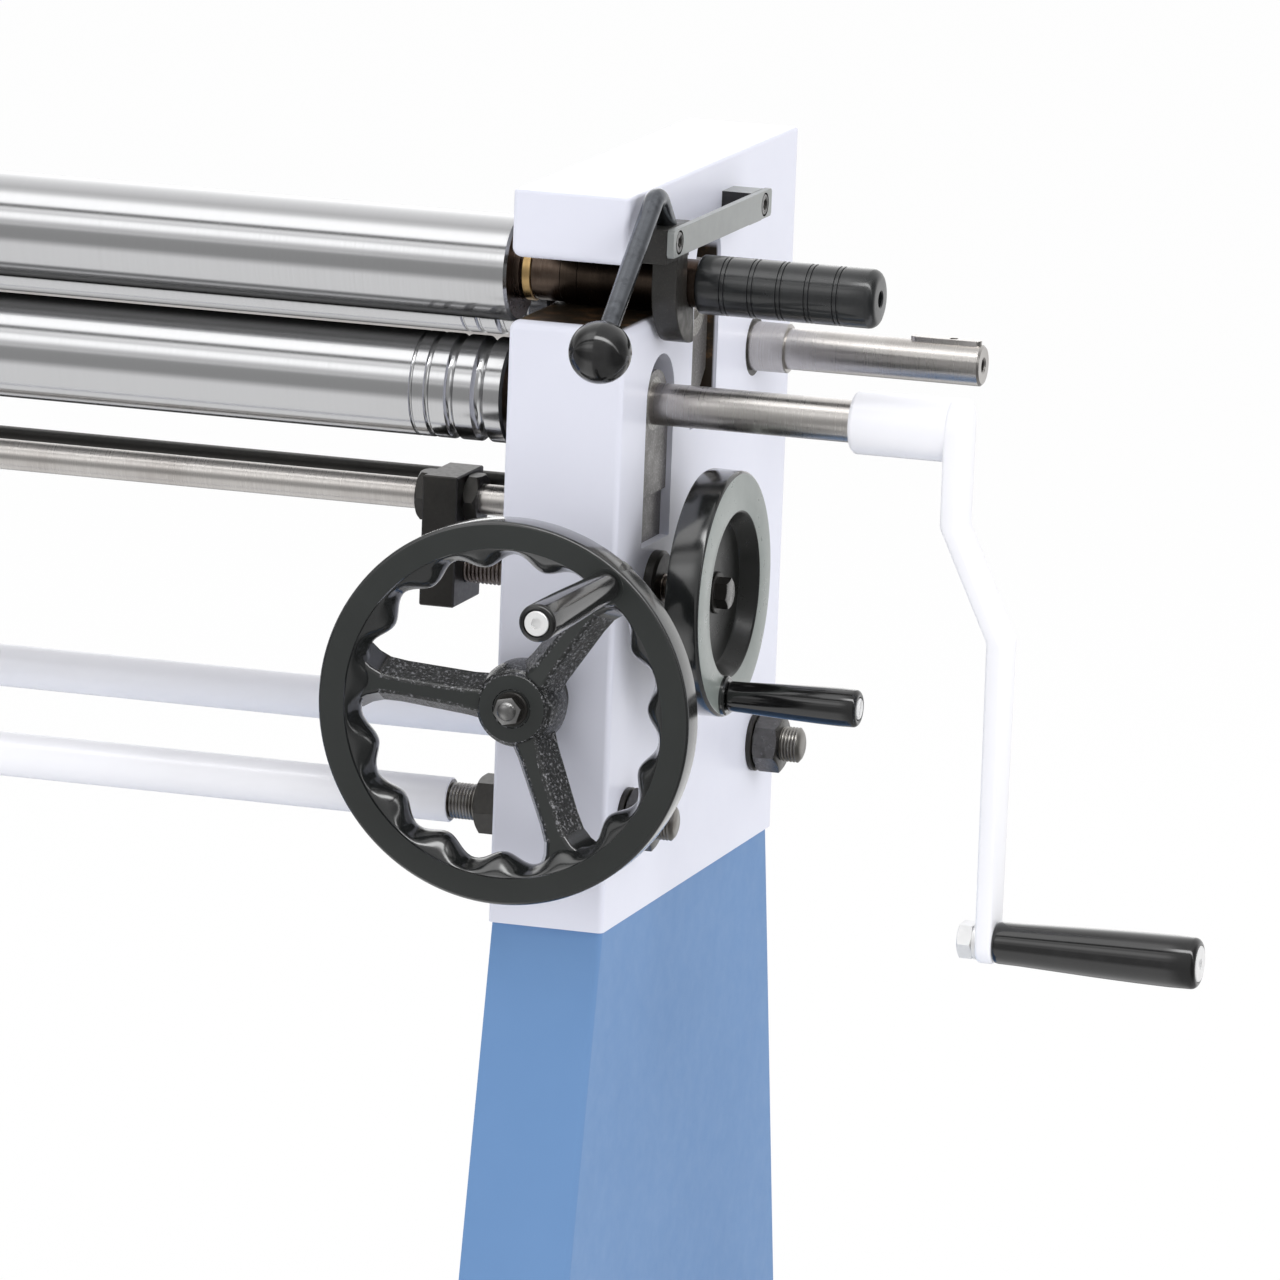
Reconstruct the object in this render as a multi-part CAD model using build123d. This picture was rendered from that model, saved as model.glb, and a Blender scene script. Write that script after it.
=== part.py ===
"""Hand-cranked slip roll on two pedestals: three ground rolls between two cast side frames.

X runs along the rolls, Y to the rear and Z up. Each side is drawn at its station: x out from the
inner face of the side frame, y back from its front and z up from its foot. The finished pieces are
then moved so that the origin lies on the floor, at the centre of the four anchor holes.
"""
from build123d import *
import math
import os

# Fits and clearances
fit_gap = 0.02
running_gap = 0.05
guide_gap = 0.1
seat_gap = 0.3
overrun = 5.0
thread_relief = 2.0
nut_corner_share = 0.9

# Rolls
roll_diameter = 75.0
roll_length = 1028.0
roll_end_gap = 21.0
roll_end_chamfer = 2.0
roll_neck_diameter = 44.0
roll_neck_gap = 2.0
journal_diameter = 34.0
shaft_diameter = 30.0
groove_setbacks = (68.1, 56.5, 39.7, 18.6)
groove_widths = (2.8, 4.2, 7.0, 9.8)
groove_depth_share = 0.3

# Side frame casting
frame_thickness = 85.0
frame_depth = 405.0
frame_crown = 70.0
frame_edge_radius = 4.0
core_wall = 12.0
core_end_wall = 16.0
core_overlap = 10.0
core_rear_width = 49.0
core_rear_gap = 18.0
rest_height = 650.0

# Roll axes at a side frame
pinch_setback = 90.0
top_rise = 453.0
pinch_opening = 13.0
rear_roll_step = 102.0
rear_roll_drop = 28.0

# Slots and windows in the side frames
slot_half_height = 22.0
slot_lip_radius = 7.0
swivel_slot_height = 74.0
swivel_slot_end_gap = 4.0
lower_window_width = 64.0
lower_window_drop = 99.0
lower_lift_travel = 12.0
rear_window_width = 60.0
rear_window_drop = 90.0
rear_window_crown = 57.0
rear_guide_drop = 125.0
rear_post_slot_drop = 185.0
window_wall = 8.0

# Lower roll lift by the sliding wedges
lift_slope_share = 0.4
wedge_low_reach = 78.0
wedge_low_rise = 35.0
wedge_inner_reach = 8.0
lower_block_inset = 4.0
lower_block_crown = 24.0
lower_bush_wall = 4.0
wedge_rod_diameter = 22.0
wedge_rod_height = 19.0
wedge_spigot_diameter = 16.0
wedge_spigot_length = 14.0
rod_nut_across = 34.0
rod_nut_thickness = 10.0
yoke_thickness = 26.0
yoke_depth = 58.0
yoke_crown = 19.0
yoke_drop = 24.0
yoke_standoff = 54.0
yoke_edge_chamfer = 1.0
stay_rod_step = 51.0

# Screws of the handwheels and their bearings
screw_diameter = 20.0
bearing_flange_diameter = 52.0
bearing_flange_thickness = 8.0
bearing_sleeve_wall = 5.0

# Side handwheel and its screw
side_screw_drop = 32.0
side_screw_tip_inset = 2.0
side_wheel_diameter = 175.0
side_wheel_recess_diameter = 116.0
side_wheel_face_reach = 145.5
side_wheel_rim_width = 25.5
side_wheel_web_thickness = 8.0
side_wheel_web_setback = 14.0
side_wheel_draft = 6.0
side_wheel_hub_diameter = 40.0
side_wheel_hub_back = 14.0
side_wheel_edge_radius = 2.5
side_seat_diameter = 16.0
side_boss_diameter = 28.0
side_boss_height = 3.5
side_handle_radius = 72.0
side_handle_angle = -103.0

# Front handwheels, their screws and the rear roll's wedges
front_screw_reach = 28.0
front_screw_height = 35.0
front_screw_end_gap = 75.0
front_wheel_diameter = 272.0
front_wheel_face_setback = 70.0
front_wheel_rim_depth = 25.0
front_wheel_ring_width = 22.0
front_wheel_scallop_inset = 30.0
front_wheel_scallop_height = 4.6
front_wheel_scallops = 15
front_wheel_scallop_depth = 11.0
front_wheel_hub_diameter = 62.0
front_wheel_hub_face_diameter = 49.0
front_wheel_hub_length = 42.0
front_wheel_dish = 12.0
front_wheel_seat_diameter = 16.0
front_wheel_spoke_width = 26.0
front_wheel_spoke_waist = 12.0
front_wheel_spoke_depth = 20.0
front_wheel_spoke_draft = 9.0
front_wheel_spoke_inset = 11.0
spoke_waist_share = 0.9
front_wheel_spoke_angles = (53.5, 173.5, 293.5)
front_wheel_edge_radius = 3.0
front_wheel_boss_diameter = 32.0
front_handle_radius = 121.0
wheel_nut_thickness = 14.0
rear_wedge_slope_share = 0.5
rear_wedge_rise_travel = 10.0
rear_wedge_drop_travel = 45.0
rear_wedge_width = 24.0
rear_wedge_gap = 2.0
rear_wedge_drop = 295.0
rear_wedge_margin = 4.0
rear_nut_size = 34.0
rear_nut_length = 36.0
rear_post_width = 36.0
rear_post_tip_height = 63.0
ledge_thickness = 14.0

# Rear roll blocks
rear_block_inset = 3.0
rear_block_drop = 68.0
rear_block_chamfer = 14.0
rear_bush_diameter = 54.0

# Top roll's ends
top_sleeve_wall = 4.75
top_sleeve_standout = 14.5
top_sleeve_inset = 2.0
grip_diameter = 42.0
grip_start = 112.5
grip_length = 131.0
grip_core_diameter = 24.0
grip_rings = 5
grip_ring_width = 3.0
grip_ring_depth = 1.2
grip_end_radius = 7.0
swivel_pin_reach = 76.0
swivel_pin_diameter = 10.0
swivel_pin_bite = 11.0
swivel_pin_hold = 10.0
swivel_block_reach = 48.0
swivel_block_end_inset = 1.0
swivel_block_width = 60.0

# Latch of the top roll
latch_gap = 0.3
latch_standoff = 3.3
hook_thickness = 18.4
hook_inner_gap = 0.3
hook_outer_radius = 42.0
hook_head_front_step = 68.0
hook_head_rear_step = 15.0
hook_head_lift = 47.0
hook_head_height = 25.0
hook_corner = 1.0
hook_lip_angle = 4.0
hook_apex_step = 66.0
hook_apex_lift = 73.0
lever_root_step = 34.0
lever_diameter = 14.0
lever_bend_radius = 12.0
lever_bend_steps = 4
knob_diameter = 44.0
knob_step = 183.0
knob_drop = 23.0
knob_bite = 16.0
link_thickness = 5.0
link_height = 20.0
link_front_step = 55.0
link_rear_step = 147.0
link_lift = 37.0
link_end = 16.0
link_corner = 2.0
latch_pin_diameter = 12.0
latch_pin_bite = 14.0
latch_head_diameter = 16.0
latch_head_depth = 2.0
bracket_length = 28.0
bracket_end = 10.0
bracket_height = 23.0
bracket_crown = 10.0

# Crank
crank_hub_reach = 229.0
crank_hub_diameter = 45.0
crank_arm_reach = 299.0
crank_arm_thickness = 12.0
crank_radius = 362.0
crank_bend_drop = 66.0
crank_straight_drop = 145.0
crank_offset = 37.0
crank_hub_width = 46.0
crank_tip_width = 31.0
crank_shaft_bite = 8.0
crank_bolt_across = 24.0
crank_bolt_thickness = 11.0
crank_washer_thickness = 3.0
crank_washer_diameter = 27.0

# Revolving handles
handle_pin_diameter = 10.0
handle_end_gap = 0.4
handle_cap_diameter = 18.0
handle_cap_thickness = 3.0
handle_end_share = 0.24
handle_shoulder_share = 0.97
handle_belly_shares = ((0.0, 0.1), (0.12, 0.16), (0.3, 0.42), (0.5, 0.7), (0.7, 0.91), (0.86, 1.0))
crank_handle_length = 148.0
crank_handle_root_diameter = 29.0
crank_handle_diameter = 37.0
side_handle_length = 96.0
side_handle_root_diameter = 21.0
side_handle_diameter = 27.0
front_handle_length = 150.0
front_handle_root_diameter = 22.0
front_handle_diameter = 27.0

# Drive shaft and gear train
drive_lift = 9.0
drive_shaft_diameter = 36.0
drive_shaft_shoulder = 112.0
drive_shaft_end = 258.0
drive_end_bore_diameter = 10.0
drive_end_bore_depth = 24.0
drive_bush_wall = 4.0
key_length = 55.0
key_width = 10.0
key_height = 8.0
key_seat_depth = 5.0
roll_gear_module = 7.0
roll_gear_teeth = 11
roll_gear_tip_diameter = 87.0
roll_gear_root_diameter = 61.0
roll_gear_tooth_share = 0.31
roll_gear_reach = 92.0
lower_gear_turn = 90.0
roll_gear_width = 14.0
train_module = 4.0
driven_teeth = 22
idler_teeth = 36
pinion_teeth = 14
train_tooth_share = 0.43
train_tip_share = 0.9
train_root_share = 1.3
pressure_angle = math.radians(20)
train_reach = 110.0
train_width = 14.0
train_mesh_gap = 1.0
gear_shaft_end = 127.0
idler_hub_diameter = 44.0
idler_web_inset = 4.0
idler_rim_wall = 9.0
idler_axle_diameter = 20.0
idler_flange_diameter = 46.0
idler_flange_thickness = 6.0
idler_spigot_length = 7.0
idler_spigot_diameter = 16.0

# Gear guard
guard_front_gap = 16.5
guard_rear_gap = 12.4
guard_foot_gap = 26.4
guard_top_gap = 13.5
guard_depth = 48.0
guard_sheet = 2.0
guard_corner_radius = 40.0

# Tie bars
tie_diameter = 32.0
tie_thread_diameter = 26.0
tie_shoulder_standoff = 44.0
tie_thread_end = 123.0
front_tie_setback = 45.0
front_tie_rise = 75.0
rear_tie_inset = 53.0
rear_tie_rise = 74.0
tie_nut_across = 38.0
tie_nut_thickness = 19.0
tie_washer_diameter = 44.0
tie_washer_thickness = 4.0

# Pedestals
pedestal_inset = 5.0
pedestal_side_inset = 2.0
pedestal_sheet = 4.0
pedestal_lip = 14.0
pedestal_top_plate = 10.0
pedestal_base_plate = 8.0
anchor_spacing = 560.0
anchor_edge = 42.5
pedestal_foot_depth = anchor_spacing + 2 * anchor_edge
anchor_hole_diameter = 14.0

# Worked out from the sizes above
frame_height = top_rise + frame_crown
lower_rise = top_rise - roll_diameter - pinch_opening
rear_setback = pinch_setback + rear_roll_step
rear_rise = top_rise - rear_roll_drop
swivel_slot_depth = pinch_setback + swivel_block_width / 2 + swivel_slot_end_gap
lower_window_foot = lower_rise - lower_window_drop
lower_window_top = lower_rise + lower_block_crown + lower_lift_travel
rear_window_foot = rear_rise - rear_window_drop
rear_window_top = rear_rise + rear_window_crown
rear_guide_foot = rear_rise - rear_guide_drop
rear_post_slot_foot = rear_rise - rear_post_slot_drop
core_height = rear_post_slot_foot + core_overlap
core_rear_top = frame_height - core_rear_gap
wedge_rod_rise = lower_window_foot + wedge_rod_height
side_screw_rise = lower_window_foot - side_screw_drop
yoke_foot = side_screw_rise - yoke_drop
yoke_top = wedge_rod_rise + yoke_crown
stay_rod_setback = pinch_setback + stay_rod_step
rear_wedge_foot = rear_rise - rear_wedge_drop
front_screw_rise = rear_wedge_foot + front_screw_height
rear_post_tip_rise = rear_wedge_foot + rear_post_tip_height
rear_block_foot = rear_rise - rear_block_drop
front_screw_end = frame_depth - front_screw_end_gap
rear_tie_setback = frame_depth - rear_tie_inset
hook_head_front = pinch_setback - hook_head_front_step
hook_head_rear = pinch_setback - hook_head_rear_step
hook_head_top = top_rise + hook_head_lift
hook_apex_setback = pinch_setback - hook_apex_step
hook_apex_rise = top_rise + hook_apex_lift
lever_root_setback = pinch_setback - lever_root_step
knob_setback = pinch_setback - knob_step
knob_rise = top_rise - knob_drop
link_front_setback = pinch_setback - link_front_step
link_rear_setback = pinch_setback + link_rear_step
link_rise = top_rise + link_lift
pinion_pitch_radius = train_module * pinion_teeth / 2
idler_pitch_radius = train_module * idler_teeth / 2
driven_pitch_radius = train_module * driven_teeth / 2
train_tip = train_module * train_tip_share
pinion_centres = pinion_pitch_radius + idler_pitch_radius
driven_centres = driven_pitch_radius + idler_pitch_radius + 2 * train_tip + train_mesh_gap
train_angle = math.asin(drive_lift / (pinion_centres + driven_centres))
drive_setback = pinch_setback + (pinion_centres + driven_centres) * math.cos(train_angle)
drive_rise = lower_rise + drive_lift
idler_setback = pinch_setback + driven_centres * math.cos(train_angle)
idler_rise = lower_rise + driven_centres * math.sin(train_angle)
guard_front = pinch_setback - roll_gear_tip_diameter / 2 - guard_front_gap
guard_rear = drive_setback + pinion_pitch_radius + train_tip + guard_rear_gap
guard_foot = drive_rise - idler_pitch_radius - train_tip - guard_foot_gap
guard_top = top_rise + roll_gear_tip_diameter / 2 + guard_top_gap
inner_face = roll_length / 2 + roll_end_gap
roll_radius = roll_diameter / 2
shaft_radius = shaft_diameter / 2
journal_radius = journal_diameter / 2
tie_hole_radius = tie_thread_diameter / 2 + running_gap
lower_bush_radius = shaft_radius + lower_bush_wall
lower_window_radius = lower_window_width / 2
rear_window_radius = rear_window_width / 2
block_width_gap = guide_gap
top_sleeve_radius = journal_radius + top_sleeve_wall
hook_start = frame_thickness + latch_standoff
hook_end = hook_start + hook_thickness
link_start = hook_end + latch_gap
link_end_face = link_start + link_thickness
wedge_low_top = lower_window_foot + wedge_low_rise
side_wheel_start = side_wheel_face_reach - side_wheel_rim_width
crank_tip_reach = crank_arm_reach + crank_offset


def out(reach):
    """X of a point that lies reach outside the inner face of the right side frame."""
    return inner_face + reach


def block(x0, x1, y0, y1, z0, z1):
    """Box between two corners."""
    centre = Pos((x0 + x1) / 2, (y0 + y1) / 2, (z0 + z1) / 2)
    return centre * Box(x1 - x0, y1 - y0, z1 - z0)


def bar_x(x0, x1, y, z, radius):
    """Round bar along X."""
    return Pos((x0 + x1) / 2, y, z) * Rot(0, 90, 0) * Cylinder(radius, x1 - x0)


def bar_y(y0, y1, x, z, radius):
    """Round bar along Y."""
    return Pos(x, (y0 + y1) / 2, z) * Rot(90, 0, 0) * Cylinder(radius, y1 - y0)


def bar_z(z0, z1, x, y, radius):
    """Round bar along Z."""
    return Pos(x, y, (z0 + z1) / 2) * Cylinder(radius, z1 - z0)


def ring_x(x0, x1, y, z, radius, bore):
    """Round bar along X with a bore."""
    return bar_x(x0, x1, y, z, radius) - bar_x(x0 - overrun, x1 + overrun, y, z, bore)


def ring_y(y0, y1, x, z, radius, bore):
    """Round bar along Y with a bore."""
    return bar_y(y0, y1, x, z, radius) - bar_y(y0 - overrun, y1 + overrun, x, z, bore)


def hexagon_x(x0, x1, y, z, across):
    """Hexagon prism along X, with its corners chamfered by a cone on both ends."""
    corner = across / math.sqrt(3)
    face = Plane(origin=(x0, y, z), x_dir=(0, 1, 0), z_dir=(1, 0, 0)) * RegularPolygon(corner, 6)
    prism = extrude(face, amount=x1 - x0)
    cap = bar_x(x0, x1, y, z, corner)
    cap = chamfer(cap.edges().filter_by(GeomType.CIRCLE), (corner - across / 2) * nut_corner_share)
    return prism & cap


def turned(profile, y, z):
    """Solid turned about an X axis from (x, radius) points."""
    outline = make_face(Polyline([(x, 0, r) for x, r in profile], close=True))
    return Pos(0, y, z) * revolve(outline, Axis.X)


def turned_y(profile, x, z):
    """Solid turned about a Y axis from (y, radius) points."""
    outline = make_face(Polyline([(0, y, r) for y, r in profile], close=True))
    return Pos(x, 0, z) * revolve(outline, Axis.Y)


def across_x(sketch_points, x0, x1):
    """Outline in (y, z) points, extruded from x0 to x1."""
    wire = Polyline([(x0, y, z) for y, z in sketch_points], close=True)
    return extrude(make_face(wire), amount=x1 - x0, dir=(1, 0, 0))


def across_y(sketch_points, y0, y1):
    """Outline in (x, z) points, extruded from y0 to y1."""
    wire = Polyline([(x, y0, z) for x, z in sketch_points], close=True)
    return extrude(make_face(wire), amount=y1 - y0, dir=(0, 1, 0))


def arched(x0, x1, centre, width, foot, top):
    """Upright slot with a half-round top, cut along X."""
    radius = width / 2
    body = block(x0, x1, centre - radius, centre + radius, foot, top - radius)
    return body + bar_x(x0, x1, centre, top - radius, radius)


def seat(shape):
    """Move a piece from the station's heights to the floor frame."""
    return Pos(0, -frame_depth / 2, rest_height) * shape


def mirrored(shape):
    """The same piece on the left side."""
    return shape.mirror(Plane.YZ)


def frame_shell():
    """Casting body that both side frames share: outline, core, windows, guides and bores."""
    body = block(out(0), out(frame_thickness), 0, frame_depth, 0, frame_height)
    body = fillet(body.edges().filter_by(Axis.Z), frame_edge_radius)
    body = fillet(body.faces().sort_by(Axis.Z)[-1].edges(), frame_edge_radius / 2)
    core_x0 = out(core_wall)
    core_x1 = out(frame_thickness - core_wall)
    rear = frame_depth - core_end_wall
    body -= block(core_x0, core_x1, core_end_wall, rear, -overrun, core_height)
    body -= block(core_x0, core_x1, rear - core_rear_width, rear, 0, core_rear_top)
    body -= arched(out(-overrun), out(frame_thickness + overrun), pinch_setback,
                   lower_window_width, lower_window_foot, lower_window_top)
    body -= arched(out(-overrun), out(frame_thickness - window_wall), rear_setback,
                   rear_window_width, rear_guide_foot, rear_window_top)
    body -= block(core_x0, core_x1, rear_setback - rear_window_radius,
                  rear_setback + rear_window_radius, rear_post_slot_foot, rear_window_foot)
    ledge_foot = rear_wedge_foot - ledge_thickness
    ledge_x0 = core_x1 - rear_wedge_width - rear_wedge_gap
    body += block(ledge_x0, core_x1, core_end_wall, rear, ledge_foot, rear_wedge_foot)
    body -= bar_x(out(-overrun), out(frame_thickness + overrun), drive_setback, drive_rise,
                  drive_shaft_diameter / 2 + drive_bush_wall + fit_gap)
    for y, z in ((front_tie_setback, front_tie_rise), (rear_tie_setback, rear_tie_rise)):
        body -= bar_x(out(-overrun), out(frame_thickness + overrun), y, z, tie_hole_radius)
    body -= bar_x(out(-overrun), core_x0 + overrun, stay_rod_setback, wedge_rod_rise,
                  wedge_spigot_diameter / 2 + fit_gap)
    body -= bar_y(-overrun, core_end_wall + overrun, out(front_screw_reach), front_screw_rise,
                  screw_diameter / 2 + bearing_sleeve_wall + fit_gap)
    return body


def frame_right():
    """Right casting: open front slot for the top roll, windows through the outer wall."""
    body = frame_shell()
    x0 = out(-overrun)
    x1 = out(frame_thickness + overrun)
    low = top_rise - slot_half_height
    high = top_rise + slot_half_height
    body -= block(x0, x1, -overrun, pinch_setback, low, high)
    body -= bar_x(x0, x1, pinch_setback, top_rise, slot_half_height)
    lips = body.edges().filter_by(Axis.X).filter_by_position(Axis.Y, -fit_gap, fit_gap)
    lips = lips.filter_by_position(Axis.Z, low - fit_gap, high + fit_gap)
    body = fillet(lips, slot_lip_radius)
    body -= arched(out(frame_thickness - window_wall - overrun), x1, rear_setback,
                   rear_window_width, rear_window_foot, rear_window_top)
    body -= bar_x(out(-overrun), out(core_wall + overrun), pinch_setback, side_screw_rise,
                  screw_diameter / 2 + bearing_sleeve_wall)
    body -= bar_x(out(frame_thickness - core_wall - overrun), x1, pinch_setback, side_screw_rise,
                  screw_diameter / 2 + bearing_sleeve_wall + fit_gap)
    return seat(body)


def frame_left():
    """Left casting: a taller slot for the swivel block and no window behind the gears."""
    body = frame_shell()
    x0 = out(-overrun)
    x1 = out(frame_thickness + overrun)
    low = top_rise - swivel_slot_height / 2
    high = top_rise + swivel_slot_height / 2
    body -= block(x0, x1, -overrun, swivel_slot_depth, low, high)
    body -= bar_z(low - swivel_pin_hold, high + swivel_pin_hold + overrun, out(swivel_pin_reach),
                  pinch_setback, swivel_pin_diameter / 2 + fit_gap)
    body -= bar_x(out(frame_thickness - window_wall - overrun), x1, idler_setback, idler_rise,
                  idler_spigot_diameter / 2 + fit_gap)
    return seat(mirrored(body))


def pedestal():
    """Folded sheet pedestal, flared to the front and rear and open on its inner side."""
    top_y0 = pedestal_inset
    top_y1 = frame_depth - pedestal_inset
    foot_y0 = (frame_depth - pedestal_foot_depth) / 2
    foot_y1 = frame_depth - foot_y0
    x0 = out(pedestal_side_inset)
    x1 = out(frame_thickness - pedestal_side_inset)
    foot = -rest_height
    body = across_x([(foot_y0, foot), (foot_y1, foot), (top_y1, 0), (top_y0, 0)], x0, x1)
    body = fillet(body.edges().filter_by(Axis.X, reverse=True).group_by(Axis.X)[-1]
                  .filter_by(Axis.Y, reverse=True), pedestal_sheet)
    sheet = pedestal_sheet
    hollow = [
        (foot_y0 + sheet, foot + pedestal_base_plate), (foot_y1 - sheet, foot + pedestal_base_plate),
        (top_y1 - sheet, -pedestal_top_plate), (top_y0 + sheet, -pedestal_top_plate),
    ]
    body -= across_x(hollow, x0 + sheet, x1 - sheet)
    lip = pedestal_lip + sheet
    mouth = [
        (foot_y0 + lip, foot + lip), (foot_y1 - lip, foot + lip),
        (top_y1 - lip, -lip), (top_y0 + lip, -lip),
    ]
    body -= across_x(mouth, x0 - overrun, x0 + sheet + overrun)
    middle_x = out(frame_thickness / 2)
    for y in (-anchor_spacing / 2, anchor_spacing / 2):
        hole = bar_z(foot - overrun, foot + pedestal_base_plate + overrun, middle_x,
                     frame_depth / 2 + y, anchor_hole_diameter / 2)
        body -= hole
    return seat(body)


def tie_bar(setback, rise):
    """White stay between the frames, shouldered down to threaded ends."""
    shoulder = out(-tie_shoulder_standoff)
    end = out(tie_thread_end)
    chamfer_size = thread_relief
    radius = tie_diameter / 2
    thread = tie_thread_diameter / 2
    profile = [
        (-end, 0), (-end, thread - chamfer_size), (-end + chamfer_size, thread), (-shoulder, thread),
        (-shoulder, radius - chamfer_size), (-shoulder + chamfer_size, radius),
        (shoulder - chamfer_size, radius), (shoulder, radius - chamfer_size), (shoulder, thread),
        (end - chamfer_size, thread), (end, thread - chamfer_size), (end, 0),
    ]
    return seat(turned(profile, setback, rise))


def tie_places():
    """Setback and rise of the two tie bars."""
    return ((front_tie_setback, front_tie_rise), (rear_tie_setback, rear_tie_rise))


def tie_nuts():
    """Eight nuts, one on each side of each casting at both tie bars."""
    nuts = []
    inner_end = out(-tie_washer_thickness)
    outer_start = out(frame_thickness + tie_washer_thickness)
    for y, z in tie_places():
        for x0 in (inner_end - tie_nut_thickness, outer_start):
            nut = hexagon_x(x0, x0 + tie_nut_thickness, y, z, tie_nut_across)
            nut -= bar_x(x0 - overrun, x0 + tie_nut_thickness + overrun, y, z, tie_hole_radius)
            nuts += [seat(nut), seat(mirrored(nut))]
    return Compound(children=nuts)


def tie_washers():
    """Washers under the tie bar nuts."""
    washers = []
    for y, z in tie_places():
        for x0 in (out(-tie_washer_thickness), out(frame_thickness)):
            x1 = x0 + tie_washer_thickness
            washer = ring_x(x0, x1, y, z, tie_washer_diameter / 2, tie_hole_radius)
            washers += [seat(washer), seat(mirrored(washer))]
    return Compound(children=washers)


def stay_rod():
    """Dark rod between the castings, with spigots in their inner walls."""
    radius = wedge_rod_diameter / 2
    spigot = wedge_spigot_diameter / 2
    end = out(core_wall)
    profile = [
        (-end, 0), (-end, spigot), (-out(0), spigot), (-out(0), radius),
        (out(0), radius), (out(0), spigot), (end, spigot), (end, 0),
    ]
    return seat(turned(profile, stay_rod_setback, wedge_rod_rise))


def groove_cutters(y, z):
    """Rings that cut the rounded wire grooves near the right end of a roll."""
    cutters = []
    for setback, width in zip(groove_setbacks, groove_widths):
        depth = width * groove_depth_share
        section = (width ** 2 / 4 + depth ** 2) / (2 * depth)
        ring = Torus(roll_radius - depth + section, section)
        cutters.append(Pos(roll_length / 2 - setback, y, z) * Rot(0, 90, 0) * ring)
    return cutters


def roll_blank(left_end, right_end, neck_radius, left_radius, right_radius):
    """Roll body with necks and stepped shafts, as (x, radius) points."""
    end = roll_length / 2
    cut = roll_end_chamfer
    neck = out(-roll_neck_gap)
    return [
        (-left_end, 0), (-left_end, left_radius), (-neck, left_radius), (-neck, neck_radius),
        (-end, neck_radius), (-end, roll_radius - cut), (-end + cut, roll_radius),
        (end - cut, roll_radius), (end, roll_radius - cut), (end, neck_radius),
        (neck, neck_radius), (neck, right_radius), (right_end, right_radius), (right_end, 0),
    ]


def lower_roll():
    """Lower pinch roll with four wire grooves; its right shaft carries the crank."""
    right_end = out(crank_arm_reach + crank_shaft_bite)
    left_end = out(gear_shaft_end)
    profile = roll_blank(left_end, right_end, roll_neck_diameter / 2, shaft_radius, shaft_radius)
    body = turned(profile, pinch_setback, lower_rise)
    for cutter in groove_cutters(pinch_setback, lower_rise):
        body -= cutter
    return seat(body)


def rear_roll():
    """Bending roll, idle in its two blocks, with the same wire grooves."""
    end = out(frame_thickness - window_wall - rear_block_inset)
    profile = roll_blank(end, end, roll_neck_diameter / 2, shaft_radius, shaft_radius)
    body = turned(profile, rear_setback, rear_rise)
    for cutter in groove_cutters(rear_setback, rear_rise):
        body -= cutter
    return seat(body)


def top_roll():
    """Top roll: long right journal that lies in the open slot and ends in the grip's core."""
    end = roll_length / 2
    cut = roll_end_chamfer
    neck_radius = roll_neck_diameter / 2
    neck = out(-top_sleeve_standout - roll_neck_gap)
    core = grip_core_diameter / 2
    gear_shoulder = out(frame_thickness + roll_neck_gap)
    gear_end = out(roll_gear_reach + roll_gear_width)
    grip_face = out(grip_start)
    core_end = out(grip_start + grip_length - grip_end_radius * 2)
    profile = [
        (-gear_end, 0), (-gear_end, shaft_radius), (-gear_shoulder, shaft_radius),
        (-gear_shoulder, journal_radius), (-neck, journal_radius), (-neck, neck_radius),
        (-end, neck_radius), (-end, roll_radius - cut), (-end + cut, roll_radius),
        (end - cut, roll_radius), (end, roll_radius - cut), (end, neck_radius),
        (neck, neck_radius), (neck, journal_radius), (grip_face, journal_radius),
        (grip_face, core), (core_end, core), (core_end, 0),
    ]
    return seat(turned(profile, pinch_setback, top_rise))


def top_roll_grip():
    """Ribbed rubber grip on the top roll's right end."""
    x0 = out(grip_start) + fit_gap
    x1 = x0 + grip_length
    radius = grip_diameter / 2
    tail = grip_end_radius
    profile = [(x0, 0), (x0, radius - grip_ring_depth), (x0 + grip_ring_depth, radius)]
    pitch = (grip_length - tail) / (grip_rings + 1)
    for ring in range(1, grip_rings + 1):
        middle = x0 + ring * pitch
        half = grip_ring_width / 2
        floor = radius - grip_ring_depth
        profile += [(middle - half, radius), (middle - half, floor),
                    (middle + half, floor), (middle + half, radius)]
    steps = 4
    for step in range(steps + 1):
        angle = math.radians(90 * step / steps)
        profile.append((x1 - tail + tail * math.sin(angle), radius - tail + tail * math.cos(angle)))
    profile.append((x1, 0))
    body = turned(profile, pinch_setback, top_rise)
    bore_end = out(grip_start + grip_length - grip_end_radius * 2) + fit_gap
    body -= bar_x(x0 - overrun, bore_end, pinch_setback, top_rise, grip_core_diameter / 2 + fit_gap)
    return seat(body)


def top_sleeve():
    """Bronze sleeve in which the top roll's right journal turns."""
    x0 = out(-top_sleeve_standout)
    x1 = out(frame_thickness - top_sleeve_inset)
    return seat(ring_x(x0, x1, pinch_setback, top_rise, top_sleeve_radius,
                       journal_radius + running_gap))


def swivel_block():
    """Left bearing of the top roll, which swivels on two upright pins."""
    half = swivel_block_width / 2
    height = swivel_slot_height / 2 - seat_gap
    x0 = out(swivel_block_reach)
    x1 = out(frame_thickness - swivel_block_end_inset)
    body = block(x0, x1, pinch_setback - half, pinch_setback + half,
                 top_rise - height, top_rise + height)
    body = chamfer(body.edges().filter_by(Axis.Z), swivel_pin_diameter / 2)
    body -= bar_x(x0 - overrun, x1 + overrun, pinch_setback, top_rise, journal_radius + running_gap)
    for direction in (-1, 1):
        near = top_rise + direction * (height - swivel_pin_bite)
        far = top_rise + direction * (height + overrun)
        body -= bar_z(min(near, far), max(near, far), out(swivel_pin_reach), pinch_setback,
                      swivel_pin_diameter / 2 + running_gap)
    return seat(mirrored(body))


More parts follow.
